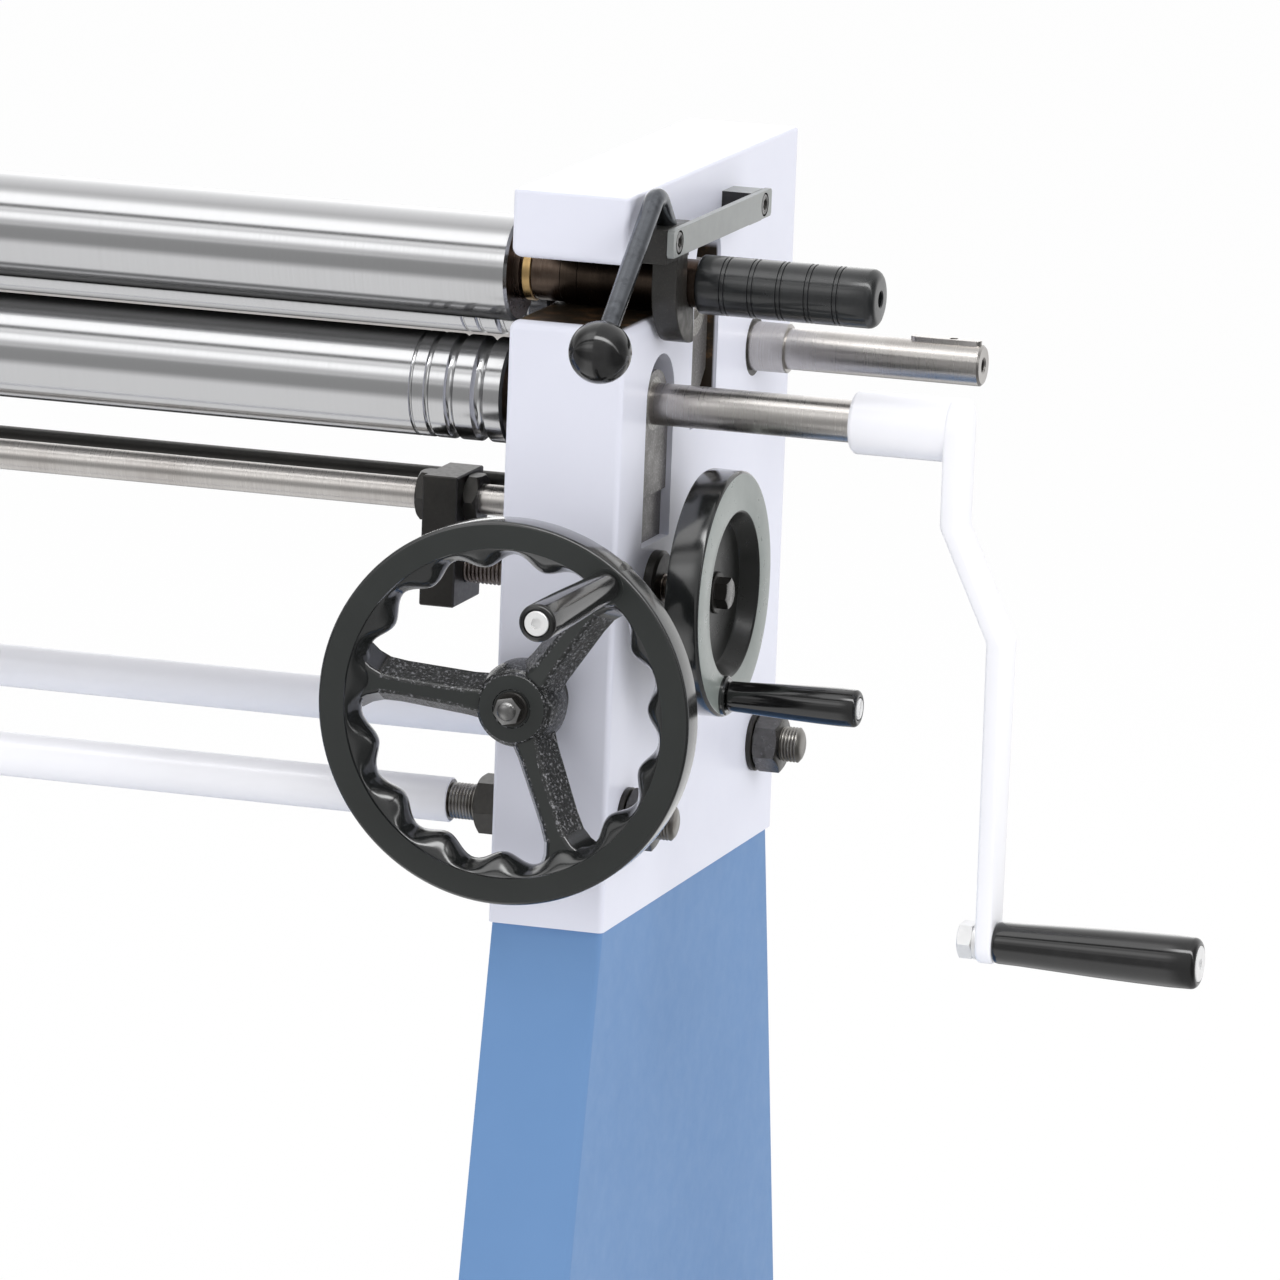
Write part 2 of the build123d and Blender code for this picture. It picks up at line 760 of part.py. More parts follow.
def swivel_pins():
    """Two pins of the swivel block, held in the left casting."""
    pins = []
    half = swivel_slot_height / 2
    for direction in (-1, 1):
        near = top_rise + direction * (half - swivel_pin_bite + seat_gap)
        far = top_rise + direction * (half + swivel_pin_hold)
        pin = bar_z(min(near, far), max(near, far), out(swivel_pin_reach), pinch_setback,
                    swivel_pin_diameter / 2)
        pins.append(seat(mirrored(pin)))
    return Compound(children=pins)


def involute(angle):
    """Involute function of a pressure angle."""
    return math.tan(angle) - angle


def flank_half_angle(radius, base, half_at_pitch):
    """Half of a tooth's angle at a radius; straight below the base circle."""
    pressure = math.acos(min(base / max(radius, base), 1))
    return half_at_pitch + involute(pressure_angle) - involute(pressure)


def gear_outline(module, teeth, tip, root, tooth_share, turn):
    """Points of a spur gear with involute flanks."""
    points = []
    steps = 5
    pitch_angle = 2 * math.pi / teeth
    pitch_radius = module * teeth / 2
    base = pitch_radius * math.cos(pressure_angle)
    half_at_pitch = tooth_share * pitch_angle / 2
    start = max(base, root)
    radii = [root] + [start + (tip - start) * step / steps for step in range(steps + 1)]
    for tooth in range(teeth):
        middle = turn + tooth * pitch_angle
        for radius in radii:
            points.append((radius, middle - flank_half_angle(radius, base, half_at_pitch)))
        for radius in reversed(radii):
            points.append((radius, middle + flank_half_angle(radius, base, half_at_pitch)))
    return [(radius * math.cos(angle), radius * math.sin(angle)) for radius, angle in points]


def spur_gear(x0, width, y, z, module, teeth, tip, root, tooth_share, turn, bore):
    """Spur gear about an X axis, bored for its shaft."""
    outline = gear_outline(module, teeth, tip, root, tooth_share, math.radians(turn))
    body = across_x([(y + v, z + w) for v, w in outline], x0, x0 + width)
    return body - bar_x(x0 - overrun, x0 + width + overrun, y, z, bore)


def roll_gear(rise, turn):
    """Long-toothed gear on the left end of a pinch roll."""
    x0 = out(roll_gear_reach)
    body = spur_gear(x0, roll_gear_width, pinch_setback, rise, roll_gear_module, roll_gear_teeth,
                     roll_gear_tip_diameter / 2, roll_gear_root_diameter / 2,
                     roll_gear_tooth_share, turn, shaft_radius + fit_gap)
    return seat(mirrored(body))


def train_gear(teeth, y, z, turn, bore):
    """Gear of the reduction train at the left end."""
    pitch_radius = train_module * teeth / 2
    tip = pitch_radius + train_tip
    root = pitch_radius - train_module * train_root_share
    return spur_gear(out(train_reach), train_width, y, z, train_module, teeth, tip, root,
                     train_tooth_share, turn, bore)


def driven_gear():
    """Gear on the lower roll's left end that the idler drives."""
    return seat(mirrored(train_gear(driven_teeth, pinch_setback, lower_rise, 0,
                                    shaft_radius + fit_gap)))


def idler_gear():
    """Idler with a hub and a recessed web."""
    y = idler_setback
    z = idler_rise
    toward_pinion = math.degrees(train_angle)
    body = train_gear(idler_teeth, y, z, toward_pinion, idler_axle_diameter / 2 + running_gap)
    rim = idler_pitch_radius - train_module * train_root_share - idler_rim_wall
    x0 = out(train_reach)
    x1 = x0 + train_width
    for start, end in ((x0 - overrun, x0 + idler_web_inset), (x1 - idler_web_inset, x1 + overrun)):
        body -= ring_x(start, end, y, z, rim, idler_hub_diameter / 2)
    return seat(mirrored(body))


def drive_pinion():
    """Pinion on the drive shaft, its tooth spaces turned to face the idler's tooth."""
    half_turn = 180
    toward_idler = math.degrees(train_angle) + half_turn
    half_pitch = half_turn / pinion_teeth
    return seat(mirrored(train_gear(pinion_teeth, drive_setback, drive_rise,
                                    toward_idler + half_pitch, shaft_radius + fit_gap)))


def idler_axle():
    """Flanged stub axle of the idler on the left casting."""
    y = idler_setback
    z = idler_rise
    face = out(frame_thickness)
    body = bar_x(face, face + idler_flange_thickness, y, z, idler_flange_diameter / 2)
    body += bar_x(face - idler_spigot_length, face, y, z, idler_spigot_diameter / 2)
    body += bar_x(face, out(gear_shaft_end), y, z, idler_axle_diameter / 2)
    return seat(mirrored(body))


def drive_shaft():
    """Drive shaft through both castings; its right end has a key seat and a screw hole for a crank."""
    left_shoulder = out(frame_thickness + roll_neck_gap)
    shoulder = out(drive_shaft_shoulder)
    end = out(drive_shaft_end)
    radius = drive_shaft_diameter / 2
    cut = roll_end_chamfer
    profile = [
        (-out(gear_shaft_end), 0), (-out(gear_shaft_end), shaft_radius),
        (-left_shoulder, shaft_radius), (-left_shoulder, radius), (shoulder - cut, radius),
        (shoulder, radius - cut), (shoulder, shaft_radius), (end - cut, shaft_radius),
        (end, shaft_radius - cut), (end, 0),
    ]
    body = turned(profile, drive_setback, drive_rise)
    body -= bar_x(end - drive_end_bore_depth, end + overrun, drive_setback, drive_rise,
                  drive_end_bore_diameter / 2)
    return seat(body - key_blank(overrun))


def key_blank(extra):
    """Parallel key with round ends, on top of the drive shaft's right end."""
    half = key_width / 2
    x0 = out(drive_shaft_end - key_length) + half
    x1 = out(drive_shaft_end) - roll_end_chamfer - half
    foot = drive_rise + shaft_radius - key_seat_depth
    top = foot + key_height + extra
    body = block(x0, x1, drive_setback - half, drive_setback + half, foot, top)
    for x in (x0, x1):
        body += bar_z(foot, top, x, drive_setback, half)
    return body


def drive_key():
    """Key in the drive shaft."""
    return seat(key_blank(0))


def drive_bushes():
    """Bronze bushes of the drive shaft in both castings."""
    radius = drive_shaft_diameter / 2
    bush = ring_x(out(0), out(frame_thickness), drive_setback, drive_rise,
                  radius + drive_bush_wall, radius + running_gap)
    return Compound(children=[seat(bush), seat(mirrored(bush))])


def gear_guard():
    """Sheet cover over the gears on the left casting."""
    x0 = out(frame_thickness)
    x1 = x0 + guard_depth
    body = block(x0, x1, guard_front, guard_rear, guard_foot, guard_top)
    body = fillet(body.edges().filter_by(Axis.X), guard_corner_radius)
    body = fillet(body.faces().sort_by(Axis.X)[-1].edges(), guard_sheet * 3)
    inner = block(x0 - overrun, x1 - guard_sheet, guard_front + guard_sheet,
                  guard_rear - guard_sheet, guard_foot + guard_sheet, guard_top - guard_sheet)
    inner = fillet(inner.edges().filter_by(Axis.X), guard_corner_radius - guard_sheet)
    return seat(mirrored(body - inner))


def wedge_top(x):
    """Height of a lower wedge's slope at distance x outside the inner face."""
    return wedge_low_top + lift_slope_share * (wedge_low_reach - x)


def lower_block_right():
    """Bearing block of the lower roll: rounded crown, bush bore and a sloped foot."""
    return seat(lower_block(lambda x: wedge_top(x) + guide_gap))


def lower_block(slope):
    """Bearing block for a slope that is given as height over the station's x."""
    x0 = lower_block_inset
    x1 = frame_thickness - lower_block_inset
    half = lower_window_radius - block_width_gap
    crown = lower_rise + lower_block_crown
    body = arched(out(x0), out(x1), pinch_setback, 2 * half, min(slope(x0), slope(x1)), crown)
    low = min(slope(x0), slope(x1)) - overrun
    cut = across_y([(out(x0 - overrun), low - overrun), (out(x1 + overrun), low - overrun),
                    (out(x1 + overrun), slope(x1 + overrun)), (out(x0 - overrun), slope(x0 - overrun))],
                   0, frame_depth)
    body -= cut
    return body - bar_x(out(x0 - overrun), out(x1 + overrun), pinch_setback, lower_rise,
                        lower_bush_radius + fit_gap)


def left_slope(x):
    """Height of the left wedge's slope, which falls the same way along X as the right one's."""
    return wedge_low_top + lift_slope_share * (x + wedge_inner_reach)


def lower_block_left():
    """Left bearing block of the lower roll."""
    return seat(mirrored(lower_block(lambda x: left_slope(x) + guide_gap)))


def lower_bushes():
    """Bronze bushes of the lower roll in its two blocks."""
    bush = ring_x(out(lower_block_inset), out(frame_thickness - lower_block_inset), pinch_setback,
                  lower_rise, lower_bush_radius, shaft_radius + running_gap)
    return Compound(children=[seat(bush), seat(mirrored(bush))])


def wedge(x0, x1, slope):
    """Sliding wedge on the window's floor, tapped at its inner end for the rod."""
    half = lower_window_radius - block_width_gap * 3
    foot = lower_window_foot + guide_gap
    body = across_y([(out(x0), foot), (out(x1), foot), (out(x1), slope(x1)), (out(x0), slope(x0))],
                    pinch_setback - half, pinch_setback + half)
    body -= bar_x(out(x0 - overrun), out(x0 + wedge_spigot_length), pinch_setback, wedge_rod_rise,
                  wedge_spigot_diameter / 2 + fit_gap)
    return body


def lower_wedge_right():
    """Wedge under the right bearing block, thick towards the middle."""
    return seat(wedge(-wedge_inner_reach, wedge_low_reach, wedge_top))


def lower_wedge_left():
    """Wedge under the left bearing block, thin towards the middle."""
    return seat(mirrored(wedge(-wedge_inner_reach, wedge_low_reach, left_slope)))


def wedge_rod():
    """Rod that ties both wedges and the yoke together."""
    radius = wedge_rod_diameter / 2
    spigot = wedge_spigot_diameter / 2
    shoulder = out(-wedge_inner_reach)
    end = out(-wedge_inner_reach + wedge_spigot_length - thread_relief)
    profile = [
        (-end, 0), (-end, spigot), (-shoulder, spigot), (-shoulder, radius),
        (shoulder, radius), (shoulder, spigot), (end, spigot), (end, 0),
    ]
    return seat(turned(profile, pinch_setback, wedge_rod_rise))


def wedge_rod_nuts():
    """Nuts that clamp the yoke on the rod."""
    nuts = []
    right = -yoke_standoff
    left = -yoke_standoff - yoke_thickness - rod_nut_thickness
    for start in (left, right):
        x0 = out(start)
        nut = hexagon_x(x0, x0 + rod_nut_thickness, pinch_setback, wedge_rod_rise, rod_nut_across)
        nut -= bar_x(x0 - overrun, x0 + rod_nut_thickness + overrun, pinch_setback, wedge_rod_rise,
                     wedge_rod_diameter / 2 + fit_gap)
        nuts.append(seat(nut))
    return Compound(children=nuts)


def yoke():
    """Dark steel block that the side handwheel's screw draws along."""
    x0 = out(-yoke_standoff - yoke_thickness)
    x1 = out(-yoke_standoff)
    half = yoke_depth / 2
    body = block(x0, x1, pinch_setback - half, pinch_setback + half, yoke_foot, yoke_top)
    body = chamfer(body.edges(), yoke_edge_chamfer)
    body -= bar_x(x0 - overrun, x1 + overrun, pinch_setback, wedge_rod_rise,
                  wedge_rod_diameter / 2 + fit_gap)
    body -= bar_x(x0 - overrun, x1 + overrun, pinch_setback, side_screw_rise,
                  screw_diameter / 2 + running_gap)
    return seat(body)


def side_screw():
    """Spindle of the side handwheel: screw, journal in the outer wall and wheel seat."""
    tip = out(-yoke_standoff - yoke_thickness + side_screw_tip_inset)
    radius = screw_diameter / 2
    seat_radius = side_seat_diameter / 2
    shoulder = out(side_wheel_start - side_wheel_hub_back)
    end = out(side_wheel_face_reach - side_wheel_web_setback)
    cut = thread_relief
    profile = [
        (tip, 0), (tip, radius - cut), (tip + cut, radius), (shoulder, radius),
        (shoulder, seat_radius), (end, seat_radius), (end, 0),
    ]
    return seat(turned(profile, pinch_setback, side_screw_rise))


def screw_bearings():
    """Flanged bushes of the side screw and of both front screws."""
    sleeve = screw_diameter / 2 + bearing_sleeve_wall
    bush = bar_x(0, bearing_flange_thickness, 0, 0, bearing_flange_diameter / 2)
    bush = chamfer(bush.edges().filter_by(GeomType.CIRCLE).sort_by(Axis.X)[-1], thread_relief)
    bush += bar_x(-core_wall, 0, 0, 0, sleeve)
    bush -= bar_x(-core_wall - overrun, bearing_flange_thickness + overrun, 0, 0,
                  screw_diameter / 2 + running_gap)
    side = seat(Pos(out(frame_thickness), pinch_setback, side_screw_rise) * bush)
    front = seat(Pos(out(front_screw_reach), 0, front_screw_rise) * Rot(0, 0, -90) * bush)
    return Compound(children=[side, front, mirrored(front)])


def side_handle_place():
    """Setback and rise of the side handwheel's handle."""
    angle = math.radians(side_handle_angle)
    y = pinch_setback + side_handle_radius * math.cos(angle)
    z = side_screw_rise + side_handle_radius * math.sin(angle)
    return y, z


def side_wheel():
    """Dished handwheel with a broad ring face and a raised handle boss."""
    rim = side_wheel_diameter / 2
    recess = side_wheel_recess_diameter / 2
    hub = side_wheel_hub_diameter / 2
    face = out(side_wheel_face_reach)
    back = out(side_wheel_start)
    web = face - side_wheel_web_setback - side_wheel_web_thickness
    web_face = face - side_wheel_web_setback
    hub_back = back - side_wheel_hub_back
    draft = side_wheel_draft
    profile = [
        (hub_back, 0), (hub_back, hub), (web, hub + draft), (web, recess - draft),
        (back, recess + draft), (back, rim), (face, rim), (face, recess),
        (web_face, recess - draft), (web_face, 0),
    ]
    body = turned(profile, pinch_setback, side_screw_rise)
    rims = body.edges().filter_by(GeomType.CIRCLE).filter_by(
        lambda edge: abs(edge.radius - rim) < fit_gap)
    body = fillet(rims, side_wheel_edge_radius)
    y, z = side_handle_place()
    body += bar_x(face - side_wheel_web_setback, face + side_boss_height, y, z,
                  side_boss_diameter / 2)
    body -= bar_x(hub_back - overrun, face + overrun, pinch_setback, side_screw_rise,
                  side_seat_diameter / 2 + fit_gap)
    body -= bar_x(back - overrun, face + side_boss_height + overrun, y, z,
                  handle_pin_diameter / 2 + fit_gap)
    return seat(body)


def handle(length, root, widest):
    """Revolving handle along X from the origin: slim root, full belly and a rounded end."""
    bore = handle_pin_diameter / 2 + running_gap
    end_round = (widest / 2) * handle_end_share
    profile = [(0, bore)]
    for along, belly in handle_belly_shares:
        profile.append((length * along, root / 2 + (widest - root) / 2 * belly))
    profile.append((length - end_round, widest / 2 * handle_shoulder_share))
    corner = widest / 2 * handle_shoulder_share - end_round
    for step in (1, 2, 3):
        angle = math.radians(30 * step)
        profile.append((length - end_round + end_round * math.sin(angle),
                        corner + end_round * math.cos(angle)))
    cap = handle_cap_diameter / 2 + running_gap * 2
    profile += [(length, cap), (length - handle_cap_thickness, cap),
                (length - handle_cap_thickness, bore)]
    outline = make_face(Polyline([(x, 0, r) for x, r in profile], close=True))
    return revolve(outline, Axis.X)


def handle_pin(length, bite):
    """Shoulder screw on which a handle turns, along X from its seat face."""
    pin = handle_pin_diameter / 2
    cap_start = length - handle_cap_thickness + handle_end_gap
    body = bar_x(-bite, cap_start + fit_gap, 0, 0, pin)
    return body + bar_x(cap_start, length + handle_end_gap, 0, 0, handle_cap_diameter / 2)


def side_handle():
    """Handle of the side handwheel."""
    y, z = side_handle_place()
    x = out(side_wheel_face_reach + side_boss_height) + handle_end_gap
    return seat(Pos(x, y, z) * handle(side_handle_length, side_handle_root_diameter,
                                      side_handle_diameter))


def side_handle_pin():
    """Shoulder screw of the side handwheel's handle."""
    y, z = side_handle_place()
    x = out(side_wheel_face_reach + side_boss_height) + handle_end_gap
    return seat(Pos(x, y, z) * handle_pin(side_handle_length, side_wheel_rim_width))


def front_handle_place():
    """Reach and rise of a front handwheel's handle."""
    angle = math.radians(front_wheel_spoke_angles[0])
    x = front_screw_reach + front_handle_radius * math.cos(angle)
    z = front_screw_rise + front_handle_radius * math.sin(angle)
    return x, z


def front_wheel():
    """Three-spoked cast handwheel with a scalloped inner grip."""
    x = out(front_screw_reach)
    z = front_screw_rise
    face = -front_wheel_face_setback
    back = face + front_wheel_rim_depth
    rim = front_wheel_diameter / 2
    ring = rim - front_wheel_ring_width
    hub = front_wheel_hub_diameter / 2
    hub_face = face + front_wheel_dish
    body = ring_y(face, back, x, z, rim, ring)
    rims = body.edges().filter_by(GeomType.CIRCLE).filter_by(
        lambda edge: abs(edge.radius - rim) < fit_gap)
    body = fillet(rims, front_wheel_edge_radius)
    flange_start = face + front_wheel_scallop_depth
    body += scalloped_flange(x, z, flange_start, back, ring + fit_gap)
    hub_end = hub_face + front_wheel_hub_length
    body += turned_y([(hub_face, 0), (hub_face, front_wheel_hub_face_diameter / 2),
                      (hub_end, hub), (hub_end, 0)], x, z)
    for angle in front_wheel_spoke_angles:
        body += front_spoke(angle, face + front_wheel_spoke_inset, x, z, hub, ring)
    handle_x, handle_z = front_handle_place()
    body += bar_y(face - seat_gap, back, out(handle_x), handle_z, front_wheel_boss_diameter / 2)
    body -= bar_y(hub_face - overrun, hub_face + front_wheel_hub_length + overrun, x, z,
                  front_wheel_seat_diameter / 2 + fit_gap)
    body -= bar_y(face - overrun, back + overrun, out(handle_x), handle_z,
                  handle_pin_diameter / 2 + fit_gap)
    return seat(body)


def scalloped_flange(x, z, y0, y1, outer):
    """Inner flange of a front handwheel, waved for the fingers."""
    mean = front_wheel_diameter / 2 - front_wheel_scallop_inset
    points = []
    steps = front_wheel_scallops * 6
    for step in range(steps):
        angle = 2 * math.pi * step / steps
        phase = front_wheel_scallops * (angle - math.radians(front_wheel_spoke_angles[0]))
        radius = mean - front_wheel_scallop_height * math.cos(phase)
        points.append((x + radius * math.cos(angle), y0, z + radius * math.sin(angle)))
    wave = make_face(Spline(points, periodic=True))
    hole = extrude(wave, amount=y1 - y0, dir=(0, 1, 0))
    return bar_y(y0, y1, x, z, outer) - hole


def front_spoke(angle, y0, x, z, hub, ring):
    """Waisted spoke, narrow in front and drafted wider to the rear."""
    end = front_wheel_spoke_width / 2
    waist = front_wheel_spoke_waist / 2
    start = hub / 2
    stops = ((start, waist), (hub, waist), ((hub + ring) / 2, waist * spoke_waist_share),
             (ring - end, waist), (ring + fit_gap, end))
    turn = math.radians(angle)
    faces = []
    for y, extra in ((y0, 0), (y0 + front_wheel_spoke_depth, front_wheel_spoke_draft)):
        half = [(u, -w - extra) for u, w in stops] + [(u, w + extra) for u, w in reversed(stops)]
        points = [(x + u * math.cos(turn) - v * math.sin(turn), y,
                   z + u * math.sin(turn) + v * math.cos(turn)) for u, v in half]
        faces.append(make_face(Polyline(points, close=True)))
    return loft(faces, ruled=True)


def front_screw():
    """Screw of a front handwheel, from the wheel seat back into the casting."""
    hub_end = -front_wheel_face_setback + front_wheel_dish + front_wheel_hub_length
    start = -front_wheel_face_setback + front_wheel_dish
    radius = screw_diameter / 2
    seat_radius = front_wheel_seat_diameter / 2
    end = front_screw_end
    profile = [
        (start - wheel_nut_thickness, 0), (start - wheel_nut_thickness, seat_radius - thread_relief),
        (start, seat_radius), (hub_end, seat_radius), (hub_end, radius),
        (end - thread_relief, radius), (end, radius - thread_relief), (end, 0),
    ]
    return seat(turned_y(profile, out(front_screw_reach), front_screw_rise))


def front_handle():
    """Handle of a front handwheel, pointing to the front."""
    x, z = front_handle_place()
    y = -front_wheel_face_setback - seat_gap - handle_end_gap
    return seat(Pos(out(x), y, z) * Rot(0, 0, -90) * handle(
        front_handle_length, front_handle_root_diameter, front_handle_diameter))


def front_handle_pin():
    """Shoulder screw of a front handwheel's handle."""
    x, z = front_handle_place()
    y = -front_wheel_face_setback - seat_gap - handle_end_gap
    return seat(Pos(out(x), y, z) * Rot(0, 0, -90) * handle_pin(
        front_handle_length, front_wheel_rim_depth))


def rear_slope(y):
    """Height of a rear wedge's slope at setback y."""
    return rear_post_tip_rise + rear_wedge_slope_share * (rear_setback - y)


def rear_wedge():
    """Wedge with a side nut that a front screw draws along its ledge."""
    outer = out(frame_thickness - core_wall)
    x1 = outer - rear_wedge_gap
    x0 = x1 - rear_wedge_width
    half = rear_post_width / 2
    front = rear_setback - half - rear_wedge_rise_travel / rear_wedge_slope_share - rear_wedge_margin
    rear = rear_setback + half + rear_wedge_drop_travel / rear_wedge_slope_share + rear_wedge_margin
    foot = rear_wedge_foot + guide_gap
    body = across_x([(front, foot), (rear, foot), (rear, rear_slope(rear)),
                     (front, rear_slope(front))], x0, x1)
    nut_x0 = out(front_screw_reach) - rear_nut_size / 2 + rear_wedge_gap
    nut_z0 = front_screw_rise - rear_nut_size / 2
    body += block(nut_x0, x0, front, front + rear_nut_length, nut_z0, nut_z0 + rear_nut_size)
    body -= bar_y(front - overrun, front + rear_nut_length + overrun, out(front_screw_reach),
                  front_screw_rise, screw_diameter / 2 + running_gap)
    return seat(body)


def rear_block():
    """Bearing block of the rear roll with a post that rides on the rear wedge."""
    x0 = out(rear_block_inset)
    x1 = out(frame_thickness - window_wall) - seat_gap
    half = rear_window_radius - block_width_gap
    cut = rear_block_chamfer
    foot = rear_block_foot
    body = bar_x(x0, x1, rear_setback, rear_rise, half)
    body += across_x([(rear_setback - half, rear_rise), (rear_setback - half, foot + cut),
                      (rear_setback - half + cut, foot), (rear_setback + half - cut, foot),
                      (rear_setback + half, foot + cut), (rear_setback + half, rear_rise)], x0, x1)
    post_x1 = out(frame_thickness - core_wall) - rear_wedge_gap
    post_x0 = post_x1 - rear_wedge_width
    post = rear_post_width / 2
    y0 = rear_setback - post
    y1 = rear_setback + post
    gap = guide_gap
    body += across_x([(y0, foot + overrun), (y0, rear_slope(y0) + gap), (y1, rear_slope(y1) + gap),
                      (y1, foot + overrun)], post_x0, post_x1)
    body -= bar_x(x0 - overrun, x1 + overrun, rear_setback, rear_rise,
                  rear_bush_diameter / 2 + fit_gap)
    return seat(body)


def rear_bushes():
    """Bronze bushes of the rear roll in its two blocks."""
    x0 = out(rear_block_inset)
    x1 = out(frame_thickness - window_wall) - seat_gap
    bush = ring_x(x0, x1, rear_setback, rear_rise, rear_bush_diameter / 2,
                  shaft_radius + running_gap)
    return Compound(children=[seat(bush), seat(mirrored(bush))])


def crank_arm():
    """Crank: hub, cranked flat arm that narrows downwards and a round tip."""
    y = pinch_setback
    z = lower_rise
    x0 = out(crank_arm_reach)
    thick = crank_arm_thickness
    bend = z - crank_bend_drop
    straight = z - crank_straight_drop
    tip = z - crank_radius
    low = tip - crank_tip_width
    high = z + crank_hub_width
    side = [
        (x0, high), (x0, bend), (x0 + crank_offset, straight), (x0 + crank_offset, low),
        (x0 + crank_offset + thick, low), (x0 + crank_offset + thick, straight),
        (x0 + thick, bend), (x0 + thick, high),
    ]
    plate = across_y(side, y - crank_hub_width, y + crank_hub_width)
    hub_half = crank_hub_width / 2
    tip_half = crank_tip_width / 2
    front = across_x([(y - hub_half, z), (y - tip_half, tip), (y + tip_half, tip),
                      (y + hub_half, z)], x0 - overrun, x0 + crank_offset + thick + overrun)
    for centre, radius in ((z, hub_half), (tip, tip_half)):
        front += bar_x(x0 - overrun, x0 + crank_offset + thick + overrun, y, centre, radius)
    body = plate & front
    body += bar_x(out(crank_hub_reach), x0 + fit_gap, y, z, crank_hub_diameter / 2)
    body -= bar_x(out(crank_hub_reach) - overrun, x0 + crank_shaft_bite + fit_gap, y, z,
                  shaft_radius + fit_gap)
    body -= bar_x(x0, x0 + crank_offset + thick + overrun, y, tip,
                  handle_pin_diameter / 2 + fit_gap)
    return seat(body)


def crank_handle():
    """Revolving handle of the crank."""
    x = out(crank_tip_reach + crank_arm_thickness) + handle_end_gap
    tip = lower_rise - crank_radius
    return seat(Pos(x, pinch_setback, tip) * handle(
        crank_handle_length, crank_handle_root_diameter, crank_handle_diameter))


def crank_handle_pin():
    """Through bolt of the crank handle with its nut and washer inside the arm."""
    face = crank_tip_reach + crank_arm_thickness
    x = out(face) + handle_end_gap
    tip = lower_rise - crank_radius
    back = crank_arm_thickness + handle_end_gap
    washer_start = out(crank_tip_reach) - crank_washer_thickness
    nut_start = washer_start - crank_bolt_thickness
    body = Pos(x, pinch_setback, tip) * handle_pin(crank_handle_length, back)
    body += bar_x(washer_start, out(crank_tip_reach), pinch_setback, tip, crank_washer_diameter / 2)
    body += hexagon_x(nut_start, washer_start, pinch_setback, tip, crank_bolt_across)
    return seat(body)


def latch_bracket():
    """Block on the casting that carries the latch link's rear pivot."""
    rear = link_rear_setback + bracket_end
    top = link_rise + bracket_crown
    body = block(out(frame_thickness), out(hook_end), rear - bracket_length, rear,
                 top - bracket_height, top)
    body -= bar_x(out(hook_end - latch_pin_bite), out(hook_end) + overrun, link_rear_setback,
                  link_rise, latch_pin_diameter / 2 + running_gap)
    return seat(body)


def latch_link():
    """Flat bar between the bracket and the hook."""
    half = link_height / 2
    front = link_front_setback - link_end
    rear = link_rear_setback + link_end
    body = block(out(link_start), out(link_end_face), front, rear, link_rise - half,
                 link_rise + half)
    body = chamfer(body.edges().filter_by(Axis.X), link_corner)
    for y in (link_front_setback, link_rear_setback):
        body -= bar_x(out(link_start) - overrun, out(link_end_face) + overrun, y, link_rise,
                      latch_pin_diameter / 2 + fit_gap)
        body -= bar_x(out(link_end_face) - latch_head_depth, out(link_end_face) + overrun, y,
                      link_rise, latch_head_diameter / 2 + fit_gap)
    return seat(body)


def latch_pins():
    """Socket-headed pivot screws of the link, at the hook and at the bracket."""
    pins = []
    for y in (link_front_setback, link_rear_setback):
        pin = bar_x(out(hook_end - latch_pin_bite) + fit_gap, out(link_end_face), y,
                    link_rise, latch_pin_diameter / 2)
        pin += bar_x(out(link_end_face) - latch_head_depth, out(link_end_face), y, link_rise,
                     latch_head_diameter / 2)
        pins.append(seat(pin))
    return Compound(children=pins)


def rod_between(start, end, radius):
    """Round rod between two points."""
    span = end - start
    return Plane(origin=(start + end) * 0.5, z_dir=span) * Cylinder(radius, span.length)


def bent_rod(points, radius):
    """Round rod along a polyline in a plane across X, mitred at each corner."""
    body = None
    last_index = len(points) - 2
    for index, (start, end) in enumerate(zip(points, points[1:])):
        run = (end - start).normalized()
        first = start if index == 0 else start - run * radius
        last = end if index == last_index else end + run * radius
        whole = last - first
        place = Plane(origin=(first + last) * 0.5, x_dir=(1, 0, 0), z_dir=whole)
        rod = place * Cylinder(radius, whole.length)
        if index > 0:
            before = (start - points[index - 1]).normalized()
            rod = split(rod, bisect_by=Plane(origin=start, z_dir=before + run), keep=Keep.TOP)
        if index < last_index:
            after = (points[index + 2] - end).normalized()
            rod = split(rod, bisect_by=Plane(origin=end, z_dir=run + after), keep=Keep.BOTTOM)
        body = rod if body is None else body + rod
    return body


def lever_points():
    """Route of the latch lever: root in the hook's head, round bend, and end inside the knob."""
    x = out(hook_start + hook_thickness / 2)
    root = Vector(x, lever_root_setback, hook_head_top - lever_diameter / 2)
    apex = Vector(x, hook_apex_setback, hook_apex_rise)
    knob = Vector(x, knob_setback, knob_rise)
    back = (root - apex).normalized()
    run = (knob - apex).normalized()
    end = knob - run * (knob_diameter / 2 - knob_bite)
    half_angle = math.acos(back.dot(run)) / 2
    middle = (back + run).normalized()
    centre = apex + middle * (lever_bend_radius / math.sin(half_angle))
    sideways = (run - back).normalized()
    sweep = math.pi / 2 - half_angle
    bend = []
    for step in range(lever_bend_steps + 1):
        angle = sweep * (2 * step / lever_bend_steps - 1)
        reach = sideways * math.sin(angle) - middle * math.cos(angle)
        bend.append(centre + reach * lever_bend_radius)
    return [root] + bend + [end]


